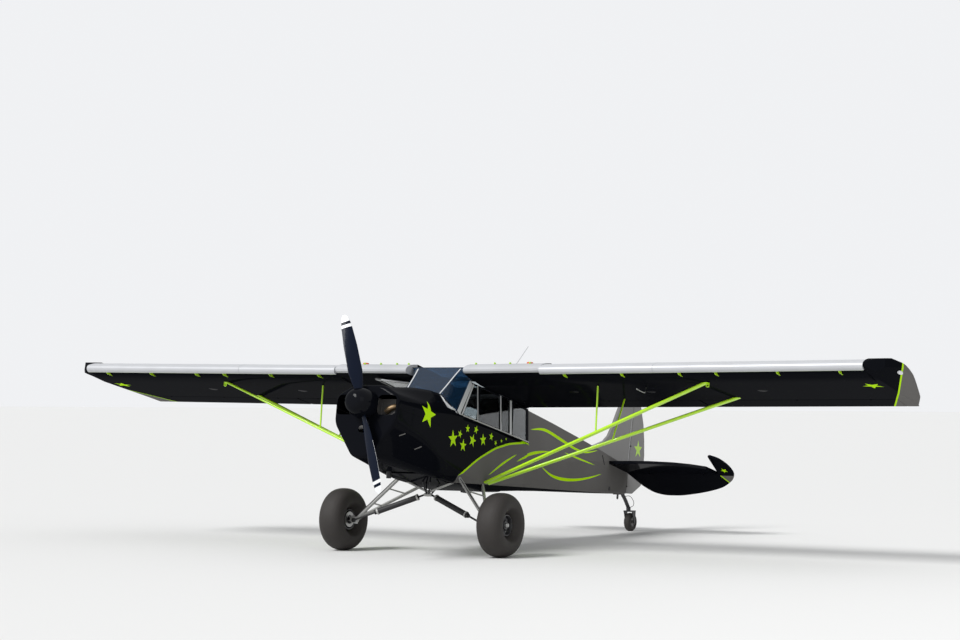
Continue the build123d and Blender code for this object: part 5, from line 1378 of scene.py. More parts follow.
@dataclass
class Propeller:
    """Two-bladed propeller with white tips and a painted highlight along each blade's leading edge, and its
    dark dome.
    """

    hub: Triple = (0.0, -1.305, 0.937)
    lean: float = math.radians(20.6)
    radius: float = 0.932
    # Columns: radius, chord, thickness and pitch in degrees
    stations: tuple[Quad, ...] = (
        (0.030, 0.060, 0.058, 46.0), (0.120, 0.068, 0.052, 46.0), (0.200, 0.106, 0.036, 41.0),
        (0.330, 0.140, 0.023, 31.0), (0.600, 0.136, 0.0155, 21.0), (0.800, 0.110, 0.0115, 16.0),
        (0.902, 0.077, 0.0085, 13.0), (0.9315, 0.032, 0.0055, 13.0),
    )
    white_tip_from: float = 0.862
    band: Pair = (0.800, 0.832)
    # Radii between which a painted highlight runs along the leading edge
    edge_highlight: Pair = (0.42, 0.78)
    around: int = 32
    # Sections about the shaft: radius and distance aft of the base
    plate_rows: tuple[Pair, ...] = (
        (0.0, -0.0097), (0.137, -0.0097), (0.1425, -0.006), (0.1425, 0.0), (0.0, 0.0)
    )
    hub_rows: tuple[Pair, ...] = (
        (0.0, -0.1195), (0.03, -0.1195), (0.05, -0.1045), (0.052, -0.0195), (0.0, -0.0195)
    )
    # Dome: base and tip stations, base radius and wall
    dome: Quad = (-1.236, -1.478, 0.147, 0.004)

    def span(self) -> Array:
        """Radii of the blade's sections: even steps, the paint's edges, and closer steps round the tip."""
        marks = [*self.band, self.white_tip_from]
        tip = self.radius - 0.03 * (1 - np.sin(np.linspace(0, math.pi / 2, 8)))
        return np.unique(np.concatenate([np.linspace(0.03, 0.9, 44), marks, tip]))

    def rings(self, hand: float) -> Array:
        """Closed blade sections: x = chord * cos t / 2, y = thickness * sin t / 2 with a fuller front half.

        Args:
            hand: 1 for the upper blade, -1 for the lower one.

        Returns:
            Array (stations, points, 3) in the rigging frame.
        """
        rows = np.array(self.stations)
        span = self.span()
        chord, thick, pitch = (np.interp(span, rows[:, 0], rows[:, k]) for k in (1, 2, 3))
        t = full_turn(self.around)
        across = 0.5 * np.cos(t)
        depth = 0.5 * np.sin(t) * (0.82 + 0.36 * np.cos(t))
        outward = np.array([-math.sin(self.lean), 0.0, math.cos(self.lean)]) * hand
        sideways = np.array([math.cos(self.lean), 0.0, math.sin(self.lean)]) * hand
        aft = np.array([0.0, 1.0, 0.0])
        turn = np.radians(pitch)
        chord_way = np.cos(turn)[:, None] * sideways + np.sin(turn)[:, None] * aft
        thick_way = np.sin(turn)[:, None] * -sideways + np.cos(turn)[:, None] * aft
        return (
            np.array(self.hub)
            + span[:, None, None] * outward
            + (chord[:, None] * across)[..., None] * chord_way[:, None]
            + (thick[:, None] * depth)[..., None] * thick_way[:, None]
        )

    def white_faces(self, reach: Array) -> Array:
        """Which faces of a blade are white, from the distance of their middles to the hub.

        Args:
            reach: distances in the order of the faces, one section after another and then the end fans.

        Returns:
            True for the tip and the band, which are white paint, and for the painted highlight along the
            leading edge.
        """
        faces = np.arange(len(reach))
        column = faces % self.around
        # Painted highlight along the leading edge
        edge = (column >= self.around // 2 - 1) & (column <= self.around // 2)
        edge &= faces < (len(self.span()) - 1) * self.around
        edge &= (reach > self.edge_highlight[0]) & (reach < self.edge_highlight[1])
        return edge | (reach > self.white_tip_from) | ((reach > self.band[0]) & (reach < self.band[1]))

    def build(self) -> None:
        """Both blades with their white paint and painted edge highlight, the plate and the hub behind them,
        and the dome.
        """
        for number, hand in enumerate((1.0, -1.0), 1):
            blade = loft(f"propeller_blade_{number}", RIG.place(self.rings(hand)), 50.0)
            faces = blade.data.polygons
            blade.data.materials.append(BLADE_NAVY.material())
            blade.data.materials.append(BLADE_WHITE_AND_HIGHLIGHT.material())
            centres = np.zeros(len(faces) * 3)
            faces.foreach_get("center", centres)
            reach = np.linalg.norm(centres.reshape(-1, 3) - RIG.place(np.array(self.hub)), axis=1)
            faces.foreach_set("material_index", self.white_faces(reach).astype(np.int32))
            fit(blade, Body.PROPELLER, None, ("propeller",))
        base, tip, radius, wall = self.dome
        foot, aft = (0.0, base, self.hub[2]), (0, 1, 0)
        fit(lathe("propeller_hub_plate", self.plate_rows, foot, aft), Body.PROPELLER, DARK_SATIN)
        fit(lathe("propeller_hub", self.hub_rows, foot, aft), Body.PROPELLER, STEEL)
        turn = np.linspace(0, math.pi / 2, 30)
        skin = list(zip(radius * np.cos(turn) ** 0.62, (tip - base) * np.sin(turn) ** 0.92))
        lining = [(max(r - wall, 0.0), y + wall * (y < tip - base + 0.06)) for r, y in reversed(skin)]
        dome = lathe("spinner_dome", skin + lining, foot, aft, 96, 40.0, closed=True)
        fit(dome, Body.PROPELLER, BLACK_GLOSS, ("spinner",))


# Wheels


@dataclass
class MainWheel:
    """Fat smooth tyre on a black dished rim, with its hub cap, bolts and brake disc."""

    hand: float
    tyre_radius: float = 0.3155
    half_width: float = 0.134
    rim_radius: float = 0.104
    track: float = 0.926
    groove: float = 0.0014
    bolts: int = 6
    bolt_circle: float = 0.066
    # Sections: radius and distance outboard of the tyre's middle plane
    rim_rows: tuple[Pair, ...] = (
        (0.0193, -0.074), (0.041, -0.074), (0.041, -0.066), (0.044, 0.024), (0.082, 0.020), (0.088, -0.040),
        (0.094, -0.070), (0.1035, -0.0715), (0.1038, -0.062), (0.1000, -0.055), (0.1000, 0.055),
        (0.1038, 0.062),
        (0.1035, 0.0715), (0.094, 0.0718), (0.088, 0.058), (0.082, 0.040), (0.060, 0.038), (0.044, 0.046),
        (0.040, 0.060), (0.0193, 0.060),
    )
    cap_rows: tuple[Pair, ...] = ((0.0, 0.078), (0.018, 0.077), (0.024, 0.072), (0.026, 0.060), (0.0, 0.060))
    bolt_rows: tuple[Pair, ...] = (
        (0.0, 0.0455), (0.0045, 0.045), (0.0055, 0.043), (0.0055, 0.0375), (0.0, 0.0375)
    )
    disc_rows: tuple[Pair, ...] = (
        (0.046, -0.0745), (0.079, -0.0745), (0.0795, -0.074), (0.0795, -0.0668), (0.046, -0.0665)
    )

    @property
    def side(self) -> str:
        """Word for the piece names."""
        return "left" if self.hand > 0 else "right"

    @property
    def body(self) -> Body:
        """Body of this wheel."""
        return Body.WHEEL_LEFT if self.hand > 0 else Body.WHEEL_RIGHT

    def tyre_profile(self) -> list[Pair]:
        """Superellipse section: along = w * cos t, out = mid + h * sin t, both raised to a power below one.

        The sides close in on the beads, and shallow grooves ring the shoulders.
        """
        t = full_turn(72)
        low = self.rim_radius + 0.001
        middle, height = (self.tyre_radius + low) / 2, (self.tyre_radius - low) / 2
        cos, sin = np.cos(t), np.sin(t)
        along = self.half_width * signed_power(cos, 0.80)
        out = middle + height * signed_power(sin, 0.86)
        pull = np.where(sin < -0.3, 0.62 + 0.38 * (1 + (sin + 0.3) / 0.7), 1.0)
        groove = self.groove * (np.cos(t * 24) > 0.6) * (sin > 0.35) * (np.abs(cos) > 0.45)
        return list(zip(out - groove, along * pull))

    def build(self) -> None:
        """Tyre, rim, hub cap, bolts and brake disc."""
        centre, axis = (self.hand * self.track, 0.0, 0.0), (self.hand, 0, 0)
        tyre = lathe(f"tyre_{self.side}_rubber", self.tyre_profile(), centre, axis, 96, 40.0, closed=True)
        fit(tyre, self.body, TYRE_RUBBER, (f"tyre_{self.side}",))
        rim = lathe(f"rim_{self.side}_dish", self.rim_rows, centre, axis, 72, 28.0, closed=True)
        fit(rim, self.body, RIM_BLACK, (f"rim_{self.side}",))
        fit(lathe(f"hub_cap_{self.side}", self.cap_rows, centre, axis, 40), self.body, STEEL)
        for number, turn in enumerate(full_turn(self.bolts), 1):
            spot = (centre[0], self.bolt_circle * math.cos(turn), self.bolt_circle * math.sin(turn))
            bolt = lathe(f"hub_bolt_{self.side}_{number}", self.bolt_rows, spot, axis, 6, 20.0)
            fit(bolt, self.body, STEEL)
        disc = lathe(f"brake_disc_{self.side}", self.disc_rows, centre, axis, 56, 25.0, closed=True)
        fit(disc, self.body, STEEL)


@dataclass
class TailWheel:
    """Small solid tyre with its metal hub."""

    radius: float = 0.1075
    half_width: float = 0.045
    bead_radius: float = 0.052
    # Hub section, port half from the bore out: radius and distance from the middle plane
    hub_rows: tuple[Pair, ...] = (
        (0.0083, 0.040), (0.018, 0.040), (0.020, 0.026), (0.046, 0.024), (0.0525, 0.034), (0.0545, 0.034)
    )

    def build(self) -> None:
        """Tyre by a superellipse section, and a stepped hub, in the middle of the CAD wheel."""
        low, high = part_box("tail_wheel")
        centre = RIG.level(np.array((low + high) / 2)) * np.array([0.0, 1.0, 1.0])
        t = full_turn(48)
        middle, reach = (self.radius + self.bead_radius) / 2, (self.radius - self.bead_radius) / 2
        out = middle + reach * signed_power(np.sin(t), 0.8)
        along = (self.half_width - 0.004) * signed_power(np.cos(t), 0.75)
        tyre = lathe("tail_tyre", list(zip(out, along)), centre, (1, 0, 0), 72, 40.0, closed=True)
        fit(tyre, Body.TAIL_WHEEL, TYRE_RUBBER, ("tail_wheel",))
        rows = [(r, -x) for r, x in self.hub_rows] + list(self.hub_rows[::-1])
        hub = lathe("tail_hub", rows, centre, (1, 0, 0), 48, 28.0, closed=True)
        fit(hub, Body.TAIL_WHEEL, CASTING)


# Cabin


@dataclass
class Seat:
    """One seat: a pan and back frame under two padded, channelled cushions."""

    node: str
    front: float
    cushion_top: float
    cushion_foot: float
    back_head: float
    top: float
    half: float
    # Powers of the pad's superellipsoid across, along and out of its face
    pad_powers: Triple = (5.0, 5.0, 2.6)
    fill: float = 0.8
    strap_half: float = 0.022

    def pad(self, name: str, start: Array, end: Array, normal: Array, half: float, thick: float) -> Piece:
        """Crowned pad: a flattened superellipsoid along a line, its face pulled in by three sewn channels.

        Args:
            name: name of the pad.
            start: rear or lower middle of the pad, in the rigging frame.
            end: front or upper middle.
            normal: direction that its face looks to.
            half: half width.
            thick: half thickness.

        Returns:
            The padded object.
        """
        middle, run = (start + end) / 2, (end - start) / 2
        v = np.linspace(-math.pi / 2, math.pi / 2, 49)[:, None]
        u = full_turn(96)[None, :]
        ways = np.cos(v) * np.cos(u), np.sin(v) + 0 * u, np.cos(v) * np.sin(u)
        ray = np.stack(np.broadcast_arrays(*ways), -1)
        reach = (np.abs(ray) ** np.array(self.pad_powers)).sum(-1, keepdims=True) ** (-1 / 3.6)
        shape = np.clip(ray * np.minimum(reach, 1.35), -1.0, 1.0)
        x, y, z = shape[..., 0:1], shape[..., 1:2], shape[..., 2:3]
        channels = 0.10 * np.exp(-(((y * 2.0) % 1.0 - 0.5) ** 2) / 0.006)
        side_seam = 0.08 * np.exp(-((np.abs(x) - 0.72) ** 2) / 0.002)
        crown = 1 - np.where(z > 0.2, channels + side_seam, 0.0)
        points = middle + x * half * np.array([1.0, 0.0, 0.0]) + y * run + z * crown * thick * normal
        return loft(name, RIG.place(points), 70.0)

    def build(self) -> None:
        """A thin dark shell, the base and back cushions over it, and two harness straps."""
        shell_rows = [
            (0.0, self.front + 0.008, self.cushion_top - 0.075),
            (0.0, self.cushion_foot + 0.02, self.cushion_top - 0.105),
            (0.0, self.back_head + 0.042, self.top - 0.03),
        ]
        path = curve_through(shell_rows, 16)
        shell = swept(self.node + "_shell", path, self.half - 0.02, 28, 0.06, up=(0, -0.5, 1))
        fixed(shell, DARK_SATIN, (self.node,))
        rear = np.array([0.0, self.cushion_foot, self.cushion_top - 0.062])
        front = np.array([0.0, self.front + 0.014, self.cushion_top - 0.036])
        rise = np.array([0.0, self.back_head - self.cushion_foot, self.top - self.cushion_top + 0.04])
        rise /= np.linalg.norm(rise)
        facing = np.array([0.0, -rise[2], rise[1]])
        foot = np.array([0.0, self.cushion_foot + 0.026, self.cushion_top - 0.01])
        head = np.array([0.0, self.back_head + 0.026, self.top - 0.035])
        pads = (
            ("cushion", rear, front, np.array([0.0, 0.05, 1.0]), self.half - 0.012, 0.036),
            ("back", foot, head, facing, self.half - 0.02, 0.028),
        )
        for part, *sizes in pads:
            pad = fixed(self.pad(f"{self.node}_{part}", *sizes), SEAT_CLOTH)
        for number, hand in enumerate((1.0, -1.0), 1):
            top = head + facing * 0.031 + np.array([hand * 0.07, 0.0, 0.0])
            low = foot + facing * 0.031 + np.array([hand * 0.11, 0.0, 0.06])
            path = curve_through([top, (top + low) / 2 + facing * 0.003, low], 12)
            strap = swept(f"{self.node}_strap_{number}", path, self.strap_half, 12, 0.09, up=facing)
            fixed(strap, WEBBING)


@dataclass
class Cockpit:
    """Dials, screens, sticks and levers inside the cabin."""

    panel_face: float = -0.1405
    # Columns: x, z and radius of a dial
    dials: tuple[Triple, ...] = (
        (-0.215, 1.165, 0.030), (-0.215, 1.085, 0.030), (0.215, 1.165, 0.030),
        (0.215, 1.085, 0.030), (0.265, 1.010, 0.022), (-0.265, 1.010, 0.022),
    )
    # Section of a dial: share of its radius, and height over the panel
    dial_rows: tuple[Pair, ...] = (
        (0.0, 0.002), (0.84, 0.002), (0.88, 0.006), (1.0, 0.006), (1.04, 0.0), (0.0, 0.0)
    )
    screen_x: Pair = (-0.09, 0.09)
    screen_half: Triple = (0.078, 0.008, 0.055)
    # Stations of both occupants' sticks and levers, and their middle lines from there
    stick_y: Pair = (0.12, 0.80)
    stick: tuple[Triple, ...] = ((0, 0, 0.455), (0, 0.01, 0.60), (0, 0.035, 0.70), (0, 0.03, 0.80))
    # Stick's radius at shares of its length: a thin rod, then a thicker grip
    grip: tuple[Pair, ...] = ((0.0, 0.011), (0.70, 0.011), (0.74, 0.017), (0.97, 0.019), (1.0, 0.012))
    boot_rows: tuple[Pair, ...] = (
        (0.0, 0.0), (0.055, 0.0), (0.05, 0.012), (0.036, 0.02), (0.034, 0.03), (0.02, 0.042), (0.0, 0.046)
    )
    boot_foot: float = 0.442
    lever_y: Pair = (0.10, 0.78)
    lever: tuple[Triple, ...] = ((0.325, 0, 0.90), (0.318, 0.01, 0.95), (0.300, 0.012, 0.985))
    knob: Triple = (0.297, 0.012, 0.992)
    knob_half: float = 0.014

    def build(self) -> None:
        """Panel instruments, both control sticks and both throttle levers."""
        for number, (x, z, radius) in enumerate(self.dials, 1):
            rows = [(radius * share, height) for share, height in self.dial_rows]
            dial = lathe(f"dial_{number}", rows, (x, self.panel_face, z), (0, 1, 0), 40, 25.0)
            fixed(dial, DIAL_FACE)
        for number, x in enumerate(self.screen_x, 1):
            middle = (x, self.panel_face + 0.006, 1.125)
            screen = rounded_block(f"screen_{number}", middle, self.screen_half, 9.0)
            fixed(screen, DIAL_FACE)
        for number, y in enumerate(self.stick_y, 1):
            path = curve_through(np.array(self.stick) + np.array([0, y, 0]), 14)
            radius = np.interp(np.linspace(0, 1, len(path)), *np.transpose(self.grip))
            fixed(swept(f"control_stick_{number}", path, radius, 18, up=(1, 0, 0)), DARK_SATIN)
            foot = (0.0, y, self.boot_foot)
            boot = lathe(f"stick_boot_{number}", self.boot_rows, foot, (0, 0, 1), 36, 60.0)
            fixed(boot, HOSE_RUBBER)
        for number, y in enumerate(self.lever_y, 1):
            shift = np.array([0, y, 0])
            path = curve_through(np.array(self.lever) + shift, 10)
            fixed(swept(f"throttle_lever_{number}", path, 0.005, 12, up=(0, 1, 0)), STEEL)
            knob = rounded_block(f"throttle_knob_{number}", self.knob + shift, [self.knob_half] * 3, 2.4, 24)
            fixed(knob, DARK_SATIN)


@dataclass
class Engine:
    """Finned cylinders and intake pieces that show through the cheek openings."""

    cylinder_x: float = 0.212
    cylinder_y: Pair = (-0.985, -0.80)
    cylinder_z: float = 0.93
    barrel_radius: float = 0.050
    fin_radius: float = 0.066
    fin_pitch: float = 0.010
    fin_count: int = 9
    # Middle line of the port intake bend
    bend: tuple[Triple, ...] = (
        (0.15, -1.085, 0.90), (0.20, -1.095, 0.93), (0.255, -1.07, 0.955), (0.275, -1.0, 0.955)
    )
    bend_radius: float = 0.027

    def build(self) -> None:
        """A finned barrel and head for each cylinder, with an intake bend ahead of the front ones."""
        wall, fin = self.barrel_radius, self.fin_radius
        fins = []
        for along in self.fin_pitch * np.arange(self.fin_count):
            fins += [(wall, along), (fin, along + 0.001), (fin, along + 0.004), (wall, along + 0.005)]
        head = [(0.055, 0.092), (0.055, 0.104), (0.046, 0.112), (0.0, 0.112)]
        rows = [(0.0, -0.012), (wall, -0.012), *fins, *head]
        for side, hand in SIDES:
            for number, y in enumerate(self.cylinder_y, 1):
                middle = (hand * self.cylinder_x, y, self.cylinder_z)
                barrel = lathe(f"cylinder_{side}_{number}", rows, middle, (hand, 0, 0), 40, 25.0)
                fixed(barrel, CASTING)
            bend = curve_through(on_side(self.bend, hand), 14)
            fixed(swept(f"intake_bend_{side}", bend, self.bend_radius, 24), BRONZE)


# Trim on the airframe


def strip(
    name: str, start: Point, end: Point, width: float, thick: float, facing: Point
) -> Piece:
    """Flat trim strip with rounded edges: an oval of a high power carried from start to end.

    Args:
        name: name of the piece.
        start: first end in the rigging frame.
        end: other end.
        width: full width across the strip.
        thick: full thickness.
        facing: direction that the strip's face looks to.

    Returns:
        The object, in the parked frame.
    """
    a, b = np.array(start, float), np.array(end, float)
    line = a + (b - a) * np.linspace(0, 1, 6)[:, None]
    run = (b - a) / np.linalg.norm(b - a)
    out = np.array(facing, float)
    out -= run * (out @ run)
    out /= np.linalg.norm(out)
    across, up = flat_section(width, thick)
    rings = line[:, None] + across[None, :, None] * np.cross(out, run) + up[None, :, None] * out
    return loft(name, RIG.place(rings), 30.0)


@dataclass
class WindowTrim:
    """Pale post covers and bars of the greenhouse, as the paint leaves them."""

    # Columns: name, foot (y, z), head (y, z), width
    posts: tuple[tuple[str, Pair, Pair, float], ...] = (
        ("screen_post", (-0.112, 1.094), (0.110, 1.452), 0.062),
        ("window_front_bar", (-0.040, 1.094), (0.158, 1.444), 0.022),
        ("window_bar_1", (0.276, 1.094), (0.240, 1.448), 0.014),
        ("window_bar_2", (0.755, 1.094), (0.718, 1.448), 0.022),
        ("window_bar_3", (0.962, 1.094), (0.936, 1.444), 0.040),
    )
    # Port moulding along the bend of the windshield, from foot to head
    screen_bend: tuple[Triple, ...] = (
        (0.205, -0.292, 1.272), (0.222, -0.205, 1.380), (0.236, -0.105, 1.500), (0.252, -0.008, 1.592),
    )
    # Port half of the strip along the windshield's foot, from the middle to the post
    screen_foot: tuple[Triple, ...] = (
        (0.0, -0.262, 1.263), (0.120, -0.262, 1.263), (0.200, -0.262, 1.240), (0.262, -0.238, 1.205),
        (0.302, -0.225, 1.160), (0.336, -0.185, 1.118), (0.362, -0.130, 1.092),
    )

    # Posts that the starboard side has no room for beside its door
    port_only: tuple[str, ...] = ("window_front_bar", "window_bar_1", "window_bar_2")
    # Half width and height of the greenhouse's side at the sill, and at the wing rail
    sill_line: Pair = (0.366, 1.085)
    rail_line: Pair = (0.338, 1.455)
    proud: float = 0.0012
    # Rear end of the port sill strip, and the front ends of the port and starboard ones
    sill: Triple = (0.3672, 1.36, 1.088)
    sill_from: Pair = (-0.08, 0.79)
    door_edge: tuple[Triple, Triple] = ((-0.36, 0.02, 1.462), (-0.80, 0.02, 1.462))

    def wall(self, z: float) -> float:
        """Half width of the greenhouse at a height: straight from the sill to the wing rail."""
        (low_x, low_z), (high_x, high_z) = self.sill_line, self.rail_line
        return low_x + (z - low_z) / (high_z - low_z) * (high_x - low_x)

    def build(self) -> None:
        """Posts, sills and screen mouldings on both sides, the screen's foot strip and the door's edge."""
        for side, hand in SIDES:
            for name, (y0, z0), (y1, z1), width in self.posts:
                if hand < 0 and name in self.port_only:
                    continue
                start = (hand * (self.wall(z0) + self.proud), y0, z0)
                end = (hand * (self.wall(z1) + self.proud), y1, z1)
                piece = strip(f"{name}_{side}", start, end, width, 0.003, (hand, 0, 0.08))
                fixed(piece, POST_SILVER)
            start = (hand * self.sill[0], self.sill_from[hand < 0], self.sill[2])
            end = on_side(self.sill, hand)
            fixed(strip(f"sill_trim_{side}", start, end, 0.012, 0.003, (hand, 0, 0)), TUBE_GREY)
            screen = Drape("windshield_skin")
            bend = on_side(curve_through(self.screen_bend, 6), hand)
            fixed(screen.band(f"screen_moulding_{side}", bend, 0.014, 0.006), POST_SILVER)
        half = curve_through(self.screen_foot, 8)
        path = np.concatenate([on_side(half, -1.0)[:0:-1], half])
        foot = Drape("cabin_shell_skin").band("screen_foot_strip", path, 0.030, 0.005)
        fixed(foot, POST_SILVER)
        door = Drape("door_upper_skin")
        edge = door.band("door_edge", np.linspace(*self.door_edge, 12), 0.014, 0.006)
        fit(edge, Body.DOOR_UPPER, POST_SILVER)


@dataclass
class WingFittings:
    """Small pieces on the wings: tip lamps, fuel caps, air tabs, inspection covers and the pitot mast."""

    # Port places, in the rigging frame at the wing root's height
    lamp: Triple = (4.757, 0.36, 1.565)
    lamp_half: Triple = (0.022, 0.05, 0.018)
    # A point over the skin, which the cap drops on to
    cap: Triple = (0.98, 0.12, 1.75)
    # Columns: radius and height over the skin
    cap_rows: tuple[Pair, ...] = (
        (0.0, 0.014), (0.026, 0.014), (0.032, 0.010), (0.034, -0.006), (0.0, -0.006)
    )
    # Span stations of the air tabs on each root's leading edge, port first
    tabs: tuple[tuple[float, ...], ...] = ((0.42, 0.639, 0.816, 1.043), (0.38, 0.523, 0.72, 0.920))
    tab_half: Triple = (0.003, 0.018, 0.012)
    tab_lift: float = 0.006
    # Inspection covers (x, y) and the underside's height there
    covers: tuple[Pair, ...] = ((1.25, 0.60), (2.10, 0.62), (3.30, 0.60))
    underside: float = 1.4635
    cover_rows: tuple[Pair, ...] = (
        (0.0, 0.003), (0.05, 0.003), (0.054, 0.0015), (0.055, -0.003), (0.0, -0.003)
    )
    mast: tuple[Triple, ...] = (
        (2.16, 0.40, 1.475), (2.16, 0.385, 1.43), (2.16, 0.36, 1.412), (2.16, 0.20, 1.412)
    )

    def rise(self, x: float) -> float:
        """Height that the dihedral adds at a span station."""
        return (abs(x) - WING_ROOT_X) * math.tan(DIHEDRAL)

    def build(self) -> None:
        """Every fitting in turn, both sides where the aircraft has both."""
        for (side, hand), stations in zip(SIDES, self.tabs):
            x, y, z = self.lamp
            middle = (hand * x, y, z + self.rise(4.75))
            lamp = rounded_block(f"tip_lamp_{side}", middle, self.lamp_half, 2.4, 36)
            fixed(lamp, LAMP_CLEAR)
            skin = Drape(f"wing_{side}_skin")
            spot, _ = skin.on(RIG.place(on_side([self.cap], hand)))
            cap = lathe(f"fuel_cap_{side}", self.cap_rows, RIG.level(spot)[0], (0, -0.08, 1), 36)
            fixed(cap, CAP_ORANGE)
            spots, _ = skin.on(RIG.place(np.array([(hand * x, 0.0, 1.70) for x in stations])))
            for number, spot in enumerate(RIG.level(spots), 1):
                middle = spot + np.array([0, 0, self.tab_lift])
                tab = rounded_block(f"airflow_tab_{side}_{number}", middle, self.tab_half, 5.0, 20)
                fixed(tab, LIME_GLOSS)
            for number, (x, y) in enumerate(self.covers, 1):
                place = (hand * x, y, self.underside + self.rise(x))
                hatch = lathe(f"inspection_cover_{side}_{number}", self.cover_rows, place, (0, -0.05, -1), 40)
                fixed(hatch, BLACK_GLOSS)
        mast = swept("pitot_mast", curve_through(self.mast, 14), 0.006, 16, up=(1, 0, 0))
        fixed(mast, STEEL)


@dataclass
class GearFittings:
    """Centre frame, shock collars, brake hoses and calipers on the main undercarriage."""

    # Port shock strut's middle line, and where its collars sit along it
    foot: Triple = (0.040, 0.082, 0.290)
    head: Triple = (0.774, -0.044, -0.014)
    collars: Pair = (0.10, 0.655)
    collar_rows: tuple[Pair, ...] = (
        (0.0292, -0.009), (0.0325, -0.009), (0.0335, 0.0), (0.0325, 0.009), (0.0292, 0.009)
    )
    # Port tubes of the centre frame: name, start, end, radius and finish
    tubes: tuple[tuple[str, Triple, Triple, float, Finish], ...] = (
        ("tube", (0.316, 0.082, 0.438), (0.012, 0.082, 0.322), 0.0125, TUBE_GREY),
        ("stay", (0.012, 0.074, 0.292), (0.045, 0.020, 0.412), 0.0075, DARK_SATIN),
        ("strap", (0.022, 0.088, 0.284), (0.080, 0.150, 0.412), 0.0075, DARK_SATIN),
    )
    pin_rows: tuple[Pair, ...] = (
        (0.0, -0.046), (0.012, -0.046), (0.017, -0.040), (0.017, 0.040), (0.012, 0.046), (0.0, 0.046)
    )
    plate: tuple[Triple, Triple] = ((0.0, 0.082, 0.306), (0.026, 0.006, 0.034))
    # Port front leg, the hose's shift from it and the sag between its clips
    leg: tuple[Triple, Triple] = ((0.345, 0.080, 0.470), (0.782, 0.006, 0.0))
    hose_shares: Pair = (0.04, 0.92)
    hose_shift: Triple = (0.010, -0.0195, 0.006)
    hose_sag: Triple = (0.001, -0.002, 0.0)
    caliper: tuple[Triple, Triple] = ((0.8085, 0.052, 0.0), (0.0125, 0.028, 0.034))

    def build_frame(self) -> None:
        """Two cross tubes that meet under the belly, short stays above them, and the shock struts' pin."""
        pin = lathe("cabane_pin", self.pin_rows, (0.0, *self.foot[1:]), (1, 0, 0), 32)
        fixed(pin, TUBE_GREY, ("cabane",))
        for side, hand in SIDES:
            for part, start, end, radius, finish in self.tubes:
                line = on_side(np.linspace(start, end, 4), hand)
                fixed(swept(f"cabane_{part}_{side}", line, radius, 20, up=(0, 1, 0)), finish)
        fixed(rounded_block("cabane_plate", *self.plate, 4.0, 32), TUBE_GREY)

    def build(self) -> None:
        """The centre frame, collars, a hose along each front leg, and a pale caliper at each disc."""
        self.build_frame()
        for side, hand in SIDES:
            foot, head = on_side([self.foot, self.head], hand)
            for number, share in enumerate(self.collars, 1):
                name, place = f"shock_collar_{side}_{number}", foot + (head - foot) * share
                collar = lathe(name, self.collar_rows, place, head - foot, 40, closed=True)
                fixed(collar, TUBE_GREY)
            start, end = np.array(self.leg)
            shares = np.linspace(*self.hose_shares, 7)[:, None]
            path = start + (end - start) * shares + np.array(self.hose_shift)
            path[1::2] += np.array(self.hose_sag)
            hose = swept(f"brake_hose_{side}", curve_through(on_side(path, hand), 8), 0.0035, 10)
            fixed(hose, HOSE_RUBBER)
            middle, half = self.caliper
            caliper = rounded_block(f"caliper_{side}", on_side(middle, hand), half, 7.0, 32)
            fixed(caliper, POST_SILVER)


@dataclass
class TailFittings:
    """Small pieces at the tail: hinge-line strips, a dark disc of painted shade for each lifting hole, rods at
    the fin's root and bowed cables.
    """

    # Port places in the rigging frame
    hinge_line: tuple[Triple, Triple] = ((0.0172, 4.378, 1.425), (0.0172, 4.378, 2.02))
    # Painted shade: a dark rimmed disc on the cone stands for each lifting hole's shaded inside
    hole_shade: Triple = (0.108, 3.854, 1.033)
    # Columns: radius and height over the skin
    hole_shade_rows: tuple[Pair, ...] = (
        (0.0, 0.0012), (0.017, 0.0012), (0.019, 0.004), (0.023, 0.004), (0.025, -0.002), (0.0, -0.002)
    )
    rod: tuple[Triple, ...] = ((0.088, 3.652, 1.278), (0.092, 3.61, 1.322), (0.094, 3.571, 1.372))
    cable: tuple[Triple, ...] = (
        (0.024, 4.372, 1.034), (0.040, 4.470, 1.052), (0.046, 4.560, 1.012), (0.040, 4.585, 0.965),
        (0.022, 4.560, 0.936),
    )

    def build(self) -> None:
        """Pieces on the fin and the cone, then the bowed cables behind the spring leaf."""
        cone = Drape("tail_cone_skin")
        for side, hand in SIDES:
            start, end = on_side(self.hinge_line, hand)
            hinge = strip(f"hinge_strip_{side}", start, end, 0.010, 0.002, (hand, 0, 0))
            fixed(hinge, POST_SILVER)
            # Dark disc of painted shade where the lifting hole is
            spot, normal = cone.on(RIG.place(on_side([self.hole_shade], hand)))
            place = RIG.level(spot)[0]
            away = RIG.level(spot + normal)[0] - place
            hole_shade = lathe(f"lifting_hole_shade_{side}", self.hole_shade_rows, place, away, 36)
            fixed(hole_shade, DARK_SATIN)
            rod = swept(f"tail_rod_{side}", on_side(self.rod, hand), 0.005, 12, up=(1, 0, 0))
            fixed(rod, DARK_SATIN)
            cable = swept(f"tail_cable_{side}", curve_through(on_side(self.cable, hand), 9), 0.0032, 10)
            fixed(cable, HOSE_RUBBER)


# Studio


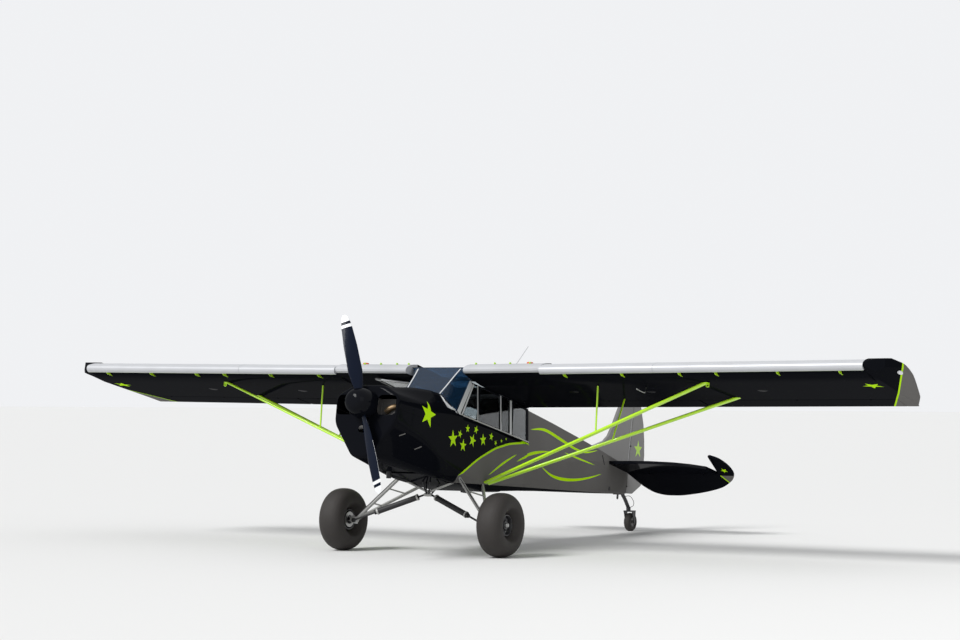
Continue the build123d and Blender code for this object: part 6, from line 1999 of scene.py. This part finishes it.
@dataclass(frozen=True)
class Studio:
    """Pale floor, soft lights, and the camera at the photograph's place."""

    camera_place: Triple = (11.58, -18.486, 1.526)
    azimuth: float = 30.53
    pitch: float = 2.14
    roll: float = 0.33
    lens: float = 81.53
    sensor: float = 36.0
    far_clip: float = 1000.0
    sun_from: Triple = (-4.0, -9.0, 8.5)
    sun_power: float = 2.6
    sun_spread: float = 22.0
    lamp_place: Triple = (12.0, -8.0, 7.0)
    lamp_aim: Triple = (0.0, 0.0, 1.2)
    lamp_size: float = 9.0
    lamp_power: float = 160.0
    floor_radius: float = 400.0
    floor_steps: int = 96
    floor_colour: Triple = (0.80, 0.80, 0.79)
    sky_colour: Triple = (0.97, 0.98, 1.0)
    # Strength of the sky as a light, and what is added to it for the rays that show it
    sky_light: float = 0.54
    sky_seen: float = 0.36

    def floor(self) -> None:
        """Floor disc, a fan of faces about its middle, in a plain colour that keeps the shadow."""
        t = full_turn(self.floor_steps)
        ring = self.floor_radius * np.stack([np.cos(t), np.sin(t), np.zeros_like(t)], -1)
        fan = [(k, (k + 1) % len(t), len(t)) for k in range(len(t))]
        floor = new_piece("studio_floor", np.concatenate([ring, [[0.0, 0.0, 0.0]]]), fan)
        material, tree, shader = new_material("studio_floor")
        tree.set(shader, Base_Color=(*self.floor_colour, 1), Roughness=0.9, Specular_IOR_Level=0.1)
        floor.data.materials.append(material)

    def sky(self) -> None:
        """Even background, brighter for camera, glossy and transmission rays than as a light."""
        world = bpy.data.worlds.new("studio_world")
        bpy.context.scene.world = world
        world.use_nodes = True
        t = Tree(world.node_tree)
        background = world.node_tree.nodes["Background"]
        path = t.put("ShaderNodeLightPath")
        bounced = t.sum("MAXIMUM", path.outputs["Is Glossy Ray"], path.outputs["Is Transmission Ray"])
        seen = t.sum("MAXIMUM", path.outputs["Is Camera Ray"], bounced)
        strength = t.sum("MULTIPLY_ADD", seen, self.sky_seen, self.sky_light)
        t.set(background, Color=(*self.sky_colour, 1), Strength=strength)

    def lights(self) -> None:
        """Broad sun from ahead, and a square area lamp that looks at the middle of the aircraft."""
        sun = bpy.data.lights.new("key_sun", "SUN")
        sun.energy, sun.angle = self.sun_power, math.radians(self.sun_spread)
        linked("key_sun", sun).rotation_euler = Vector(self.sun_from).to_track_quat("Z", "Y").to_euler()
        lamp = bpy.data.lights.new("fill_lamp", "AREA")
        lamp.size, lamp.energy = self.lamp_size, self.lamp_power
        holder = linked("fill_lamp", lamp)
        holder.location = self.lamp_place
        view = Vector(self.lamp_aim) - Vector(self.lamp_place)
        holder.rotation_euler = view.to_track_quat("-Z", "Y").to_euler()

    def camera(self) -> None:
        """Camera turned by azimuth about Z, then pitch, then roll about its own view axis."""
        data = bpy.data.cameras.new("photo_camera")
        data.lens, data.sensor_width, data.clip_end = self.lens, self.sensor, self.far_clip
        eye = linked("photo_camera", data)
        x, y, z = self.camera_place
        turn = (
            Matrix.Rotation(math.radians(self.azimuth), 4, "Z")
            @ Matrix.Rotation(math.radians(90 + self.pitch), 4, "X")
            @ Matrix.Rotation(math.radians(self.roll), 4, "Z")
        )
        eye.matrix_world = Matrix.Translation((x, y + RIG.axle_y, z)) @ turn
        bpy.context.scene.camera = eye

    def build(self) -> None:
        """Floor, sky, lights and camera."""
        self.floor()
        self.sky()
        self.lights()
        self.camera()


def main() -> None:
    """Builds every sub-assembly in order, then the studio."""
    logging.basicConfig(level=logging.INFO, format="%(message)s")
    scene = bpy.context.scene
    scene.view_settings.view_transform = "Standard"
    parts = [
        Skins(),
        Cowl(),
        Elevator(),
        Propeller(),
        MainWheel(1.0),
        MainWheel(-1.0),
        TailWheel(),
        Seat("seat_front", 0.160, 0.640, 0.560, 0.640, 1.130, 0.220),
        Seat("seat_rear", 0.860, 0.660, 1.210, 1.290, 1.150, 0.200),
        Cockpit(),
        Engine(),
        WindowTrim(),
        WingFittings(),
        GearFittings(),
        TailFittings(),
        Studio(),
    ]
    for part in parts:
        part.build()
        LOG.info("built %s", type(part).__name__)


if __name__ == "__main__":
    main()
